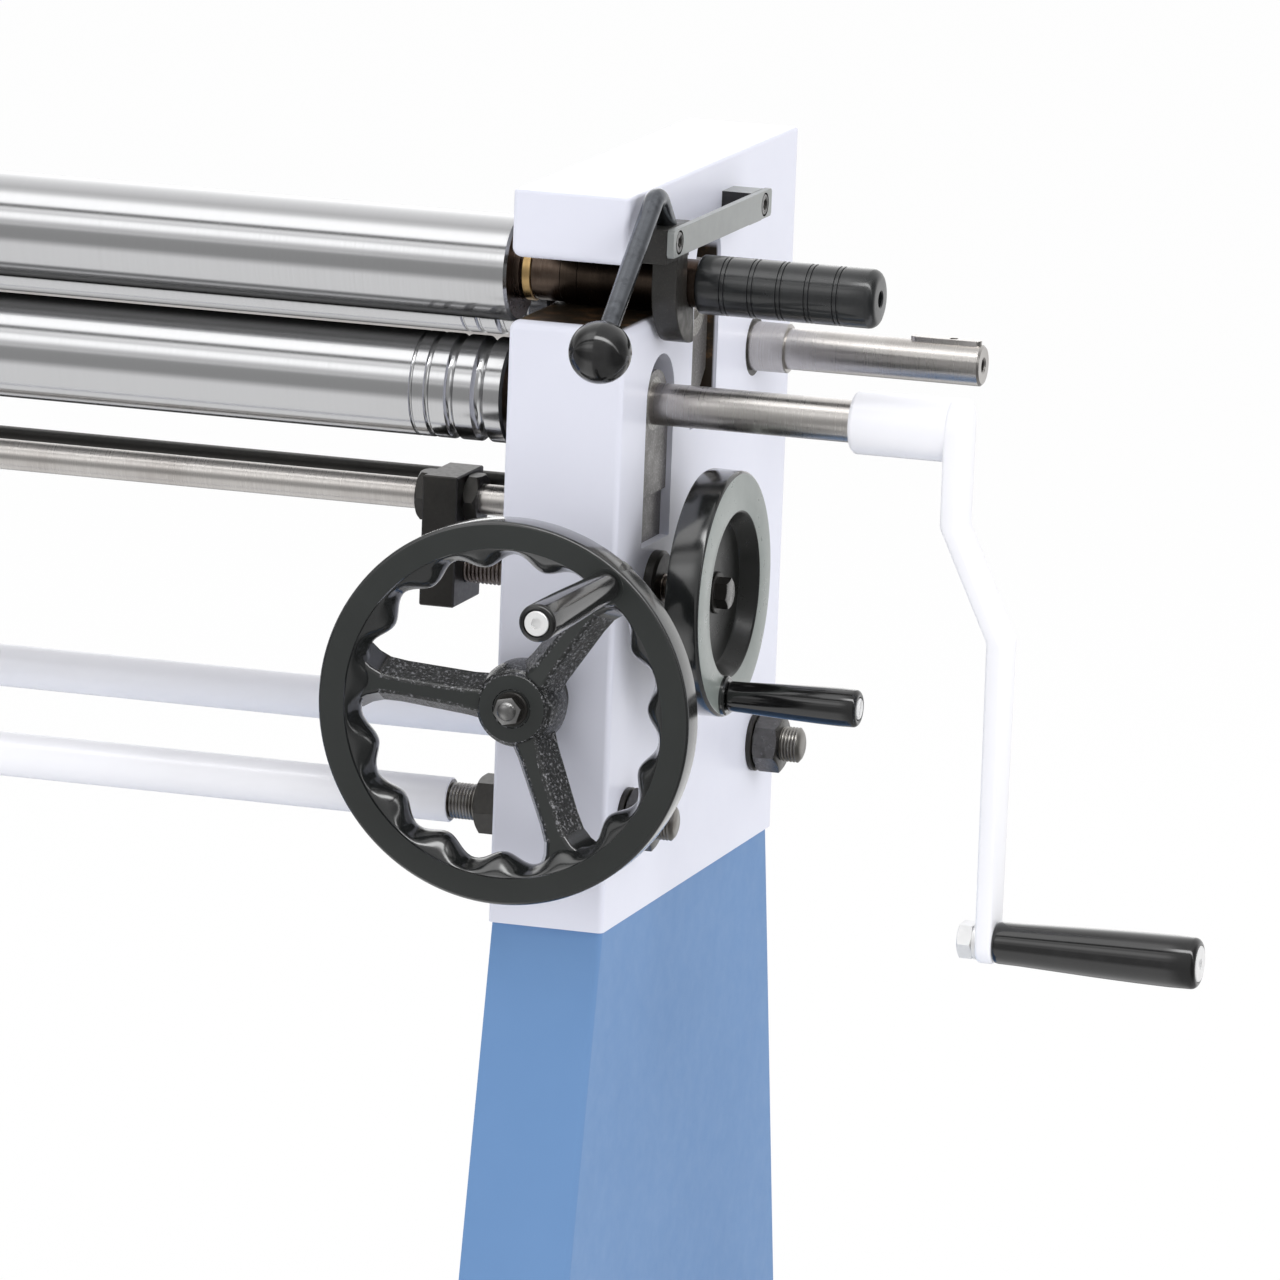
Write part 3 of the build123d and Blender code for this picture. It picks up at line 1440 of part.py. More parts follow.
def hook_outline(x):
    """Side outline of the hook: head above, band round the journal's front and a short lip."""
    y = pinch_setback
    z = top_rise
    inner = journal_radius + hook_inner_gap
    outer = hook_outer_radius
    lip = math.radians(hook_lip_angle)
    head_foot = hook_head_top - hook_head_height
    half_turn = math.radians(45)
    upper = Polyline(
        (x, y - inner, z), (x, y - inner, head_foot), (x, hook_head_rear, head_foot),
        (x, hook_head_rear, hook_head_top), (x, hook_head_front, hook_head_top),
        (x, hook_head_front, head_foot), (x, y - outer, head_foot), (x, y - outer, z),
    )
    outer_arc = ThreePointArc(
        (x, y - outer, z),
        (x, y - outer * math.cos(half_turn), z - outer * math.sin(half_turn)),
        (x, y + outer * math.sin(lip), z - outer * math.cos(lip)),
    )
    tip = Line((x, y + outer * math.sin(lip), z - outer * math.cos(lip)),
               (x, y + inner * math.sin(lip), z - inner * math.cos(lip)))
    inner_arc = ThreePointArc(
        (x, y + inner * math.sin(lip), z - inner * math.cos(lip)),
        (x, y - inner * math.cos(half_turn), z - inner * math.sin(half_turn)),
        (x, y - inner, z),
    )
    return make_face(upper.edges() + outer_arc.edges() + tip.edges() + inner_arc.edges())


def latch_hook():
    """Hook round the top roll's journal, with its head and bent lever."""
    x0 = out(hook_start)
    x1 = out(hook_end)
    body = extrude(hook_outline(x0), amount=hook_thickness, dir=(1, 0, 0))
    body = chamfer(body.edges().filter_by(Axis.X), hook_corner)
    body += bent_rod(lever_points(), lever_diameter / 2)
    body -= bar_x(x1 - latch_pin_bite, x1 + overrun, link_front_setback, link_rise,
                  latch_pin_diameter / 2 + running_gap)
    return seat(body)


def latch_knob():
    """Ball knob on the latch lever."""
    before, end = lever_points()[-2:]
    direction = (before - end).normalized()
    knob = Vector(end.X, knob_setback, knob_rise)
    body = Pos(*knob) * Sphere(knob_diameter / 2)
    body -= rod_between(end - direction * seat_gap, end + direction * knob_diameter,
                        lever_diameter / 2 + fit_gap)
    return seat(body)


def build_parts():
    """Every node of the slip roll by its name."""
    right_pedestal = pedestal()
    right_front_wheel = front_wheel()
    right_front_screw = front_screw()
    right_front_handle = front_handle()
    right_front_pin = front_handle_pin()
    right_rear_wedge = rear_wedge()
    right_rear_block = rear_block()
    half_pitch = 180 / roll_gear_teeth
    return {
        "frame_casting_right": frame_right(),
        "frame_casting_left": frame_left(),
        "pedestal_right": right_pedestal,
        "pedestal_left": mirrored(right_pedestal),
        "tie_bar_front": tie_bar(front_tie_setback, front_tie_rise),
        "tie_bar_rear": tie_bar(rear_tie_setback, rear_tie_rise),
        "tie_bar_nuts": tie_nuts(),
        "tie_bar_washers": tie_washers(),
        "stay_rod": stay_rod(),
        "drive_bushes": drive_bushes(),
        "drive_shaft": drive_shaft(),
        "drive_key": drive_key(),
        "drive_pinion": drive_pinion(),
        "idler_gear": idler_gear(),
        "idler_axle": idler_axle(),
        "gear_guard": gear_guard(),
        "lower_roll": lower_roll(),
        "lower_roll_gear": roll_gear(lower_rise, lower_gear_turn),
        "lower_driven_gear": driven_gear(),
        "lower_block_right": lower_block_right(),
        "lower_block_left": lower_block_left(),
        "lower_bushes": lower_bushes(),
        "lower_wedge_right": lower_wedge_right(),
        "lower_wedge_left": lower_wedge_left(),
        "wedge_rod": wedge_rod(),
        "wedge_rod_nuts": wedge_rod_nuts(),
        "wedge_yoke": yoke(),
        "side_screw": side_screw(),
        "screw_bearings": screw_bearings(),
        "side_handwheel": side_wheel(),
        "side_handle": side_handle(),
        "side_handle_pin": side_handle_pin(),
        "front_handwheel_right": right_front_wheel,
        "front_handwheel_left": mirrored(right_front_wheel),
        "front_screw_right": right_front_screw,
        "front_screw_left": mirrored(right_front_screw),
        "front_handle_right": right_front_handle,
        "front_handle_left": mirrored(right_front_handle),
        "front_handle_pin_right": right_front_pin,
        "front_handle_pin_left": mirrored(right_front_pin),
        "rear_wedge_right": right_rear_wedge,
        "rear_wedge_left": mirrored(right_rear_wedge),
        "rear_roll": rear_roll(),
        "rear_block_right": right_rear_block,
        "rear_block_left": mirrored(right_rear_block),
        "rear_bushes": rear_bushes(),
        "top_roll": top_roll(),
        "top_roll_gear": roll_gear(top_rise, half_pitch - lower_gear_turn),
        "top_roll_grip": top_roll_grip(),
        "top_roll_sleeve": top_sleeve(),
        "top_swivel_block": swivel_block(),
        "swivel_pins": swivel_pins(),
        "crank_arm": crank_arm(),
        "crank_handle": crank_handle(),
        "crank_handle_pin": crank_handle_pin(),
        "latch_hook": latch_hook(),
        "latch_knob": latch_knob(),
        "latch_link": latch_link(),
        "latch_pins": latch_pins(),
        "latch_bracket": latch_bracket(),
    }


def main():
    """Write each node to its own STEP file."""
    os.makedirs("parts", exist_ok=True)
    for name, shape in build_parts().items():
        export_step(shape, f"parts/{name}.step")


main()
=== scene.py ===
"""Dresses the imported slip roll: finishes, detailed pieces, soft studio light and the camera."""
from __future__ import annotations

import logging
import math
from collections.abc import Callable
from dataclasses import dataclass, field
from enum import Enum

import bpy
from mathutils import Matrix, Vector


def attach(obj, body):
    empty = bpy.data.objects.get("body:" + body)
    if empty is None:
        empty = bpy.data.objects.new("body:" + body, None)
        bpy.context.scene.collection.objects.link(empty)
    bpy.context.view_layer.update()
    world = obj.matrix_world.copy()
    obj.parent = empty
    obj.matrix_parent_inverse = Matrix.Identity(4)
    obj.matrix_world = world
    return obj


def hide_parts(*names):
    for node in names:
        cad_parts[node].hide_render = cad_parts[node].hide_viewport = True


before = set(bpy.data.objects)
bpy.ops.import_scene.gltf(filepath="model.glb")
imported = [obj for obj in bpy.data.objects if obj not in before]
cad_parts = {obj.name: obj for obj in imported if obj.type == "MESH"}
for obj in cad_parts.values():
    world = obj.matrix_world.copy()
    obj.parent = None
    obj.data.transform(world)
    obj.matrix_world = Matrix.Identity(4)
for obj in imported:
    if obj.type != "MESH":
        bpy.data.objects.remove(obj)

LOG = logging.getLogger("slip_roll")
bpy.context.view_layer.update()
MM = 0.001
OUT, FRONT, UP = Vector((1, 0, 0)), Vector((0, -1, 0)), Vector((0, 0, 1))

Triple = tuple[float, float, float]
Colour = Triple
Stops = tuple[tuple[float, float], ...]
Profile = list[tuple[float, float]]
Chooser = Callable[[Vector, Vector], int]
Socket = bpy.types.NodeSocket


class Coat(Enum):
    """The named finishes of the slip roll's pieces."""

    WHITE_PAINT = "white_paint"
    BLUE_PAINT = "blue_paint"
    ROLL_STEEL = "roll_steel"
    PINCH_STEEL = "pinch_steel"
    TURNED_STEEL = "turned_steel"
    DARK_STEEL = "dark_steel"
    GREASY_STEEL = "greasy_steel"
    CAST_BLACK = "cast_black"
    RING_BLACK = "ring_black"
    SATIN_GREY = "satin_grey"
    BLOCK_IRON = "block_iron"
    BRONZE = "bronze"
    GLOSS_BLACK = "gloss_black"
    GRIP_RUBBER = "grip_rubber"
    NECK_GREASE_AND_SHADE = "neck_grease_and_shade"
    CAP_STEEL = "cap_steel"
    NUT_STEEL = "nut_steel"
    THREAD_STEEL = "thread_steel"
    FACE_GREY = "face_grey"
    HOOK_BLACK = "hook_black"
    LEVER_STEEL = "lever_steel"
    SLEEVE_BLACK = "sleeve_black"
    RIM_GLOSS = "rim_gloss"
    PIT_BLACK = "pit_black"
    STUD_STEEL = "stud_steel"
    BUSH_GREY = "bush_grey"
    CASTING_WHITE = "casting_white"
    BRACKET_GREY = "bracket_grey"


class Wiring:
    """Writes nodes into a node tree, each with what feeds its inputs."""

    def __init__(self, tree: bpy.types.NodeTree) -> None:
        """Empties the tree.

        Args:
            tree: Node tree of a material or of the world.
        """
        self.nodes, self.links = tree.nodes, tree.links
        self.nodes.clear()

    def feed(self, node: bpy.types.Node, feeds: dict[str | int, object]) -> None:
        """Sets or links a node's inputs.

        Args:
            node: The node.
            feeds: Number, colour or socket for each input, by its name or place.
        """
        for key, value in feeds.items():
            socket = node.inputs[key]
            if isinstance(value, Socket):
                self.links.new(value, socket)
            elif isinstance(value, tuple) and socket.type == "RGBA":
                socket.default_value = (*value, 1.0)
            else:
                socket.default_value = value

    def node(self, kind: str, feeds: dict[str | int, object] | None = None) -> bpy.types.Node:
        """Adds a node.

        Args:
            kind: Its type.
            feeds: What goes into its inputs.

        Returns:
            The node.
        """
        node = self.nodes.new(kind)
        self.feed(node, feeds or {})
        return node

    def math(self, operation: str, *values: Socket | float) -> Socket:
        """Combines sockets and numbers.

        Args:
            operation: Math operation.
            values: Its inputs in order.

        Returns:
            The result socket.
        """
        node = self.node("ShaderNodeMath", dict(enumerate(values)))
        node.operation = operation
        return node.outputs[0]

    def spread(self, factor: Socket, low: float, high: float, bottom: float = 0.0,
               top: float = 1.0) -> Socket:
        """Maps a factor's range low to high onto bottom to top, clamped.

        Args:
            factor: Socket to map.
            low: Input that gives bottom.
            high: Input that gives top.
            bottom: Lowest result.
            top: Highest result.

        Returns:
            The mapped socket.
        """
        node = self.node("ShaderNodeMapRange", {"Value": factor, "From Min": low, "From Max": high,
                                                "To Min": bottom, "To Max": top})
        return node.outputs["Result"]

    def mix(self, factor: Socket, first: Colour | Socket, second: Colour | Socket) -> Socket:
        """Blends two colours.

        Args:
            factor: Blend socket.
            first: Colour at nought.
            second: Colour at one.

        Returns:
            The colour socket.
        """
        node = self.node("ShaderNodeMix")
        node.data_type = "RGBA"
        colours = [place for place, socket in enumerate(node.inputs) if socket.type == "RGBA"]
        self.feed(node, {0: factor, colours[0]: first, colours[1]: second})
        return next(socket for socket in node.outputs if socket.type == "RGBA")


class Graph(Wiring):
    """Nodes of one material, on Object coordinates."""

    def __init__(self, name: str) -> None:
        """Starts a material with its shader.

        Args:
            name: Name of the material.
        """
        self.material = bpy.data.materials.new(name)
        self.material.use_nodes = True
        super().__init__(self.material.node_tree)
        self.shader = self.node("ShaderNodeBsdfPrincipled")
        self.node("ShaderNodeOutputMaterial", {"Surface": self.shader.outputs[0]})
        self.coords = self.node("ShaderNodeTexCoord").outputs

    def set(self, **values: Colour | Socket | float) -> None:
        """Feeds sockets of the shader, with underscores for the blanks in their names."""
        self.feed(self.shader, {key.replace("_", " "): value for key, value in values.items()})

    def noise(self, scale: float | Triple, detail: float = 4.0, rough: float = 0.55) -> Socket:
        """Noise on Object coordinates.

        Args:
            scale: Waves per metre, the same all round or along X, Y and Z.
            detail: Octaves.
            rough: Weight of the finer octaves.

        Returns:
            The factor socket.
        """
        waves = scale if isinstance(scale, tuple) else (scale,) * 3
        place = self.node("ShaderNodeMapping", {"Vector": self.coords["Object"], "Scale": waves})
        noise = self.node("ShaderNodeTexNoise", {"Vector": place.outputs[0], "Scale": 1.0,
                                                 "Detail": detail, "Roughness": rough})
        return noise.outputs["Fac"]

    def nip_shade(self, reach: float, low: float, high: float) -> Socket:
        """Share of open space over the surface, by which shade is painted into nips.

        Args:
            reach: Distance looked at, in metres.
            low: Open share that counts as closed.
            high: Open share that counts as open.

        Returns:
            1 in the open, 0 in a closed nip.
        """
        nip_light = self.node("ShaderNodeAmbientOcclusion", {"Distance": reach})
        return self.spread(nip_light.outputs["AO"], low, high)

    def within(self, centre: Triple, half: Triple, soft: float = 0.0015) -> Socket:
        """Factor that is one inside a box on both sides of the middle, and nought outside.

        Args:
            centre: Middle of the right side's box, in metres.
            half: Half its size.
            soft: Width of its edge.

        Returns:
            The factor socket.
        """
        split = self.node("ShaderNodeSeparateXYZ", {0: self.coords["Object"]}).outputs
        places = (self.math("ABSOLUTE", split[0]), split[1], split[2])
        result = None
        for place, middle, reach in zip(places, centre, half):
            away = self.math("ABSOLUTE", self.math("SUBTRACT", place, middle))
            inside = self.spread(away, reach, reach - soft)
            result = inside if result is None else self.math("MULTIPLY", result, inside)
        return result

    def facing(self, axis: int, low: float, high: float) -> Socket:
        """Factor by the surface's own direction.

        Args:
            axis: 0, 1 or 2.
            low: Part of the normal along the axis that gives nought.
            high: Part that gives one.

        Returns:
            The factor socket.
        """
        split = self.node("ShaderNodeSeparateXYZ", {0: self.coords["Normal"]})
        return self.spread(split.outputs[axis], low, high)

    def bump(self, height: Socket, strength: float, distance: float) -> None:
        """Adds a bump to the shader's normal.

        Args:
            height: Height socket.
            strength: Share of the effect.
            distance: Depth in metres.
        """
        self.set(Normal=self.node("ShaderNodeBump", {"Strength": strength, "Distance": distance,
                                                     "Height": height}).outputs[0])


CLOUD_BAND, LINE_BAND, RUB_BAND = (0.35, 0.7), (0.3, 0.7), (0.3, 0.75)


@dataclass(frozen=True)
class Paint:
    """Sprayed paint: faint clouding, a soft orange peel and a few rubbed marks."""

    base: Colour
    shade: Colour
    rough: float = 0.35
    peel: float = 900.0
    peel_depth: float = 0.00006
    coat: float = 0.2
    specular: float = 0.45
    cloud: float = 7.0
    cloud_detail: float = 3.0
    rub: float = 60.0

    def tint(self, g: Graph) -> Socket:
        """Colour of the clouded paint."""
        clouds = g.spread(g.noise(self.cloud, self.cloud_detail), *CLOUD_BAND)
        return g.mix(clouds, self.base, self.shade)

    def build(self, name: str) -> bpy.types.Material:
        """Makes the paint's material.

        Args:
            name: Name of the material.

        Returns:
            The material.
        """
        g = Graph(name)
        g.set(Base_Color=self.tint(g), Coat_Weight=self.coat, Coat_Roughness=0.15,
              Specular_IOR_Level=self.specular,
              Roughness=g.spread(g.noise(self.rub, 5.0, 0.7), *RUB_BAND, self.rough - 0.05,
                                 self.rough + 0.08))
        g.bump(g.noise(self.peel, 2.0), 0.35, self.peel_depth)
        return g.material


@dataclass(frozen=True)
class PaintedCasting(Paint):
    """Paint of the side frames, with greasy bare metal inside the open slots."""

    slots: tuple[tuple[Triple, Triple], ...] = (
        ((0.5775, -0.1425, 1.103), (0.0425, 0.054, 0.0240)),
        ((0.6050, 0.0195, 1.060), (0.0130, 0.0022, 0.080)))
    grease: Colour = (0.026, 0.019, 0.013)
    rust: Colour = (0.16, 0.085, 0.04)

    def tint(self, g: Graph) -> Socket:
        """Colour of the paint with its bare places."""
        first, second = (g.within(centre, half) for centre, half in self.slots)
        bare = g.mix(g.spread(g.noise(90.0, 5.0, 0.7), 0.5, 0.75), self.grease, self.rust)
        return g.mix(g.math("MAXIMUM", first, second), super().tint(g), bare)


@dataclass(frozen=True)
class Bracket(Paint):
    """Satin grey block whose faces towards the front are painted black as painted shade."""

    # painted shade: near black on the faces that point to the front
    front: Colour = (0.012, 0.012, 0.012)

    def tint(self, g: Graph) -> Socket:
        """Colour of the block, painted black as shade where it faces the front."""
        return g.mix(g.facing(1, -0.6, -0.9), super().tint(g), self.front)


@dataclass(frozen=True)
class Steel:
    """Bare steel with tool lines across or along its axis, faint staining and, where set, painted
    shade in nips.
    """

    base: Colour
    stain: Colour
    lines: Triple
    rough: float = 0.24
    rough_spread: float = 0.12
    depth: float = 0.00002
    stain_low: float = 0.5
    stain_high: float = 0.8
    stain_scale: float = 9.0
    line_stain: float = 0.35
    metallic: float = 1.0
    # painted shade: reach, open shares and near-black tone of the darkened nips
    nip_shade: float = 0.0
    nip_shade_low: float = 0.42
    nip_shade_high: float = 0.74
    nip_shade_tone: Colour = (0.01, 0.01, 0.01)

    def build(self, name: str) -> bpy.types.Material:
        """Makes the steel's material.

        Args:
            name: Name of the material.

        Returns:
            The material.
        """
        g = Graph(name)
        lines = g.noise(self.lines, 6.0, 0.7)
        cloud = g.spread(g.noise(self.stain_scale, 5.0, 0.6), self.stain_low, self.stain_high)
        tint = g.math("ADD", cloud, g.spread(lines, *LINE_BAND, 0.0, self.line_stain))
        steel = g.mix(tint, self.base, self.stain)
        g.set(Metallic=self.metallic)
        # painted shade: near black and not metallic where the surface closes on another part
        if self.nip_shade:
            nip_light = g.nip_shade(self.nip_shade, self.nip_shade_low, self.nip_shade_high)
            steel = g.mix(nip_light, self.nip_shade_tone, steel)
            g.set(Metallic=nip_light, Specular_IOR_Level=0.0)
        half = self.rough_spread / 2
        g.set(Base_Color=steel,
              Roughness=g.spread(lines, *LINE_BAND, self.rough - half, self.rough + half))
        g.bump(lines, 0.4, self.depth)
        return g.material


@dataclass(frozen=True)
class Cast:
    """Painted or blackened casting: pitted, with worn light specks on its high points."""

    base: Colour
    worn: Colour
    rough: float = 0.3
    metallic: float = 0.0
    grain: float = 420.0
    depth: float = 0.0004
    worn_low: float = 0.62
    worn_reach: float = 0.18

    def build(self, name: str) -> bpy.types.Material:
        """Makes the casting's material.

        Args:
            name: Name of the material.

        Returns:
            The material.
        """
        g = Graph(name)
        grain = g.noise(self.grain, 4.0, 0.6)
        lumps = g.noise(self.grain / 6, 3.0, 0.5)
        worn = g.spread(grain, self.worn_low, self.worn_low + self.worn_reach)
        g.set(Base_Color=g.mix(worn, self.base, self.worn), Metallic=self.metallic,
              Coat_Weight=0.25, Coat_Roughness=0.2,
              Roughness=g.spread(lumps, *LINE_BAND, self.rough - 0.08, self.rough + 0.14))
        g.bump(g.math("ADD", grain, lumps), 0.6, self.depth)
        return g.material


@dataclass(frozen=True)
class Moulding:
    """Moulded plastic or rubber with a fine flow texture and light handling marks."""

    base: Colour
    rough: float
    depth: float = 0.00003
    grain: float = 700.0
    coat: float = 0.0

    def build(self, name: str) -> bpy.types.Material:
        """Makes the moulding's material.

        Args:
            name: Name of the material.

        Returns:
            The material.
        """
        g = Graph(name)
        marks = g.noise(55.0, 6.0, 0.7)
        pale = tuple(min(1.0, c * 1.6 + 0.006) for c in self.base)
        g.set(Base_Color=g.mix(g.spread(marks, 0.5, 0.8), self.base, pale),
              Roughness=g.spread(marks, *RUB_BAND, self.rough * 0.85, self.rough * 1.35),
              Coat_Weight=self.coat, Coat_Roughness=0.06)
        g.bump(g.noise(self.grain, 2.0), 0.3, self.depth)
        return g.material


LATHE_LINES = (900.0, 6.0, 6.0)
SLEEVE_LINES = (900.0, 30.0, 30.0)
EVEN_GRAIN = (300.0, 300.0, 300.0)
GROUND_STEEL = (0.515, 0.517, 0.525)
GROUND_STAIN = (0.465, 0.465, 0.47)
JET = (0.012, 0.013, 0.013)

FINISHES = {
    Coat.WHITE_PAINT: Paint((0.92, 0.922, 0.965), (0.89, 0.892, 0.94)),
    Coat.BLUE_PAINT: Paint((0.150, 0.276, 0.505), (0.136, 0.258, 0.482), 0.42, coat=0.0,
                           specular=0.12),
    Coat.CASTING_WHITE: PaintedCasting((0.75, 0.762, 0.86), (0.73, 0.742, 0.84), coat=0.1,
                                       specular=0.3),
    # the bracket's faces towards the front are painted black as shade
    Coat.BRACKET_GREY: Bracket((0.30, 0.315, 0.30), (0.27, 0.28, 0.27), 0.36, specular=0.5,
                               cloud=60.0, cloud_detail=4.0, rub=90.0),
    # the roll steel carries painted shade in the nips between the rolls
    Coat.ROLL_STEEL: Steel(GROUND_STEEL, GROUND_STAIN, LATHE_LINES, 0.15, 0.06, 0.000006,
                           stain_scale=4.0, nip_shade=0.05),
    Coat.PINCH_STEEL: Steel(GROUND_STEEL, GROUND_STAIN, LATHE_LINES, 0.15, 0.06, 0.000006,
                            stain_scale=4.0, nip_shade=0.032, nip_shade_low=0.55, nip_shade_high=0.92),
    Coat.SLEEVE_BLACK: Steel((0.070, 0.052, 0.040), (0.030, 0.022, 0.017), SLEEVE_LINES, 0.3,
                             stain_scale=40.0),
    # greasy brown of the necks, darkened further as painted shade where they sit in shadow
    Coat.NECK_GREASE_AND_SHADE: Steel((0.110, 0.083, 0.066), (0.044, 0.025, 0.017), SLEEVE_LINES, 0.3,
                           stain_scale=45.0),
    Coat.TURNED_STEEL: Steel((0.56, 0.54, 0.52), (0.40, 0.37, 0.35), (1400.0, 10.0, 10.0), 0.30),
    Coat.DARK_STEEL: Steel((0.040, 0.038, 0.035), (0.020, 0.019, 0.018), EVEN_GRAIN, 0.36,
                           metallic=0.6),
    Coat.STUD_STEEL: Steel((0.27, 0.268, 0.265), (0.13, 0.128, 0.125), EVEN_GRAIN, 0.3,
                           stain_scale=90.0),
    Coat.GREASY_STEEL: Steel((0.19, 0.165, 0.145), (0.07, 0.05, 0.04), (500.0, 60.0, 60.0), 0.28,
                             stain_scale=60.0),
    Coat.CAP_STEEL: Steel((0.88, 0.88, 0.88), (0.74, 0.74, 0.74), (200.0, 200.0, 200.0), 0.42,
                          metallic=0.45),
    Coat.NUT_STEEL: Steel((0.13, 0.127, 0.122), (0.06, 0.057, 0.054), (260.0, 260.0, 260.0), 0.3,
                          stain_scale=70.0),
    Coat.THREAD_STEEL: Steel((0.34, 0.33, 0.31), (0.15, 0.13, 0.115), (300.0, 60.0, 60.0), 0.32,
                             stain_scale=50.0),
    Coat.LEVER_STEEL: Steel((0.19, 0.20, 0.22), (0.09, 0.095, 0.105), (120.0, 120.0, 120.0), 0.2,
                            stain_scale=60.0),
    Coat.BRONZE: Steel((0.55, 0.38, 0.17), (0.22, 0.13, 0.06), (500.0, 20.0, 20.0), 0.3,
                       stain_scale=40.0),
    Coat.BUSH_GREY: Cast((0.30, 0.29, 0.27), (0.55, 0.54, 0.52), 0.45, 0.6, 700.0, 0.0002, 0.45),
    Coat.CAST_BLACK: Cast(JET, (0.30, 0.30, 0.32), 0.24, 0.0, 480.0, 0.0011, 0.53),
    Coat.BLOCK_IRON: Cast((0.22, 0.21, 0.205), (0.36, 0.35, 0.34), 0.45, 0.7, 600.0, 0.0002, 0.5),
    Coat.HOOK_BLACK: Cast((0.026, 0.025, 0.023), (0.06, 0.055, 0.048), 0.42, 0.2, 900.0, 0.0001,
                          0.56),
    Coat.RING_BLACK: Paint((0.022, 0.025, 0.024), (0.016, 0.018, 0.017), 0.34, coat=0.1),
    Coat.PIT_BLACK: Paint((0.012, 0.0125, 0.0115), (0.008, 0.0085, 0.008), 0.3, coat=0.1,
                          specular=0.3),
    Coat.RIM_GLOSS: Paint(JET, (0.008, 0.009, 0.009), 0.16, peel_depth=0.00002, coat=1.0),
    Coat.SATIN_GREY: Paint((0.26, 0.272, 0.268), (0.225, 0.237, 0.233), 0.36),
    Coat.FACE_GREY: Paint((0.235, 0.262, 0.248), (0.21, 0.236, 0.222), 0.30, coat=0.3),
    Coat.GLOSS_BLACK: Moulding((0.006, 0.006, 0.0062), 0.12, coat=0.35),
    Coat.GRIP_RUBBER: Moulding((0.008, 0.009, 0.010), 0.30, 0.00006, coat=0.5),
}

NODE_COATS = {
    Coat.WHITE_PAINT: ("tie_bar_front", "tie_bar_rear", "crank_arm", "gear_guard"),
    Coat.CASTING_WHITE: ("frame_casting_right", "frame_casting_left"),
    Coat.BLUE_PAINT: ("pedestal_right", "pedestal_left"),
    Coat.ROLL_STEEL: ("lower_roll", "rear_roll", "top_roll"),
    Coat.TURNED_STEEL: ("drive_shaft", "drive_key", "wedge_rod", "idler_axle", "swivel_pins",
                        "rear_wedge_right", "rear_wedge_left", "front_handle_pin_right",
                        "front_handle_pin_left", "side_handle_pin", "crank_handle_pin"),
    Coat.DARK_STEEL: ("stay_rod", "wedge_yoke", "wedge_rod_nuts", "latch_hook", "screw_bearings",
                      "tie_bar_washers", "tie_bar_nuts", "drive_bushes"),
    Coat.GREASY_STEEL: ("side_screw", "front_screw_right", "front_screw_left"),
    Coat.CAST_BLACK: ("front_handwheel_right", "front_handwheel_left"),
    Coat.RING_BLACK: ("side_handwheel",),
    Coat.SATIN_GREY: ("latch_link",),
    Coat.BRACKET_GREY: ("latch_bracket",),
    Coat.NUT_STEEL: ("latch_pins",),
    Coat.BLOCK_IRON: ("lower_block_right", "lower_block_left", "rear_block_right",
                      "rear_block_left", "lower_wedge_right", "lower_wedge_left",
                      "top_swivel_block", "drive_pinion", "idler_gear", "lower_roll_gear",
                      "lower_driven_gear", "top_roll_gear"),
    Coat.BUSH_GREY: ("lower_bushes", "rear_bushes"),
    Coat.BRONZE: ("top_roll_sleeve",),
    Coat.GLOSS_BLACK: ("front_handle_right", "front_handle_left", "side_handle", "crank_handle",
                       "latch_knob"),
    Coat.GRIP_RUBBER: ("top_roll_grip",),
}


class Wardrobe:
    """Builds each finish once and puts it on nodes and pieces."""

    def __init__(self) -> None:
        """Makes all materials."""
        self.materials = {coat: finish.build(coat.value) for coat, finish in FINISHES.items()}

    def dress(self, obj: bpy.types.Object, coat: Coat) -> None:
        """Gives an object one finish.

        Args:
            obj: The object.
            coat: Its finish.
        """
        obj.data.materials.clear()
        obj.data.materials.append(self.materials[coat])

    def dress_nodes(self) -> None:
        """Gives each CAD node its finish."""
        for coat, names in NODE_COATS.items():
            for name in names:
                self.dress(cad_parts[name], coat)
                LOG.info("node %s: %s", name, coat.value)


INNER_FACE, FRAME_FRONT, FRAME_FOOT = 535.0, 202.5, 650.0
PINCH_BACK, LOWER_RISE, TOP_RISE = 90.0, 365.0, 453.0
REAR_BACK, REAR_RISE = 192.0, 425.0


def at(reach: float, back: float, rise: float) -> Vector:
    """Point of the right side's station in metres.

    Args:
        reach: Millimetres out from the side frame's inner face.
        back: Millimetres behind its front.
        rise: Millimetres above its foot.

    Returns:
        The point in the row frame.
    """
    return Vector(((INNER_FACE + reach) / 1000, (back - FRAME_FRONT) / 1000,
                   (rise + FRAME_FOOT) / 1000))


def axle(back: float, rise: float) -> Vector:
    """Point of a cross axis on the middle plane, in metres.

    Args:
        back: Millimetres behind the side frame's front.
        rise: Millimetres above its foot.

    Returns:
        The point in the row frame.
    """
    middle = at(0, back, rise)
    middle.x = 0.0
    return middle


def arc(along: float, out: float, radius: float, start: float, sweep: float,
        steps: int) -> Profile:
    """Points of an arc in a profile or an outline.

    Args:
        along: First measure of its centre, in millimetres.
        out: Second measure.
        radius: Its radius.
        start: Angle of its first point in degrees.
        sweep: Degrees that it turns by.
        steps: Steps between its points.

    Returns:
        One point more than the steps.
    """
    turns = [math.radians(start + sweep * step / steps) for step in range(steps + 1)]
    return [(along + radius * math.cos(turn), out + radius * math.sin(turn)) for turn in turns]


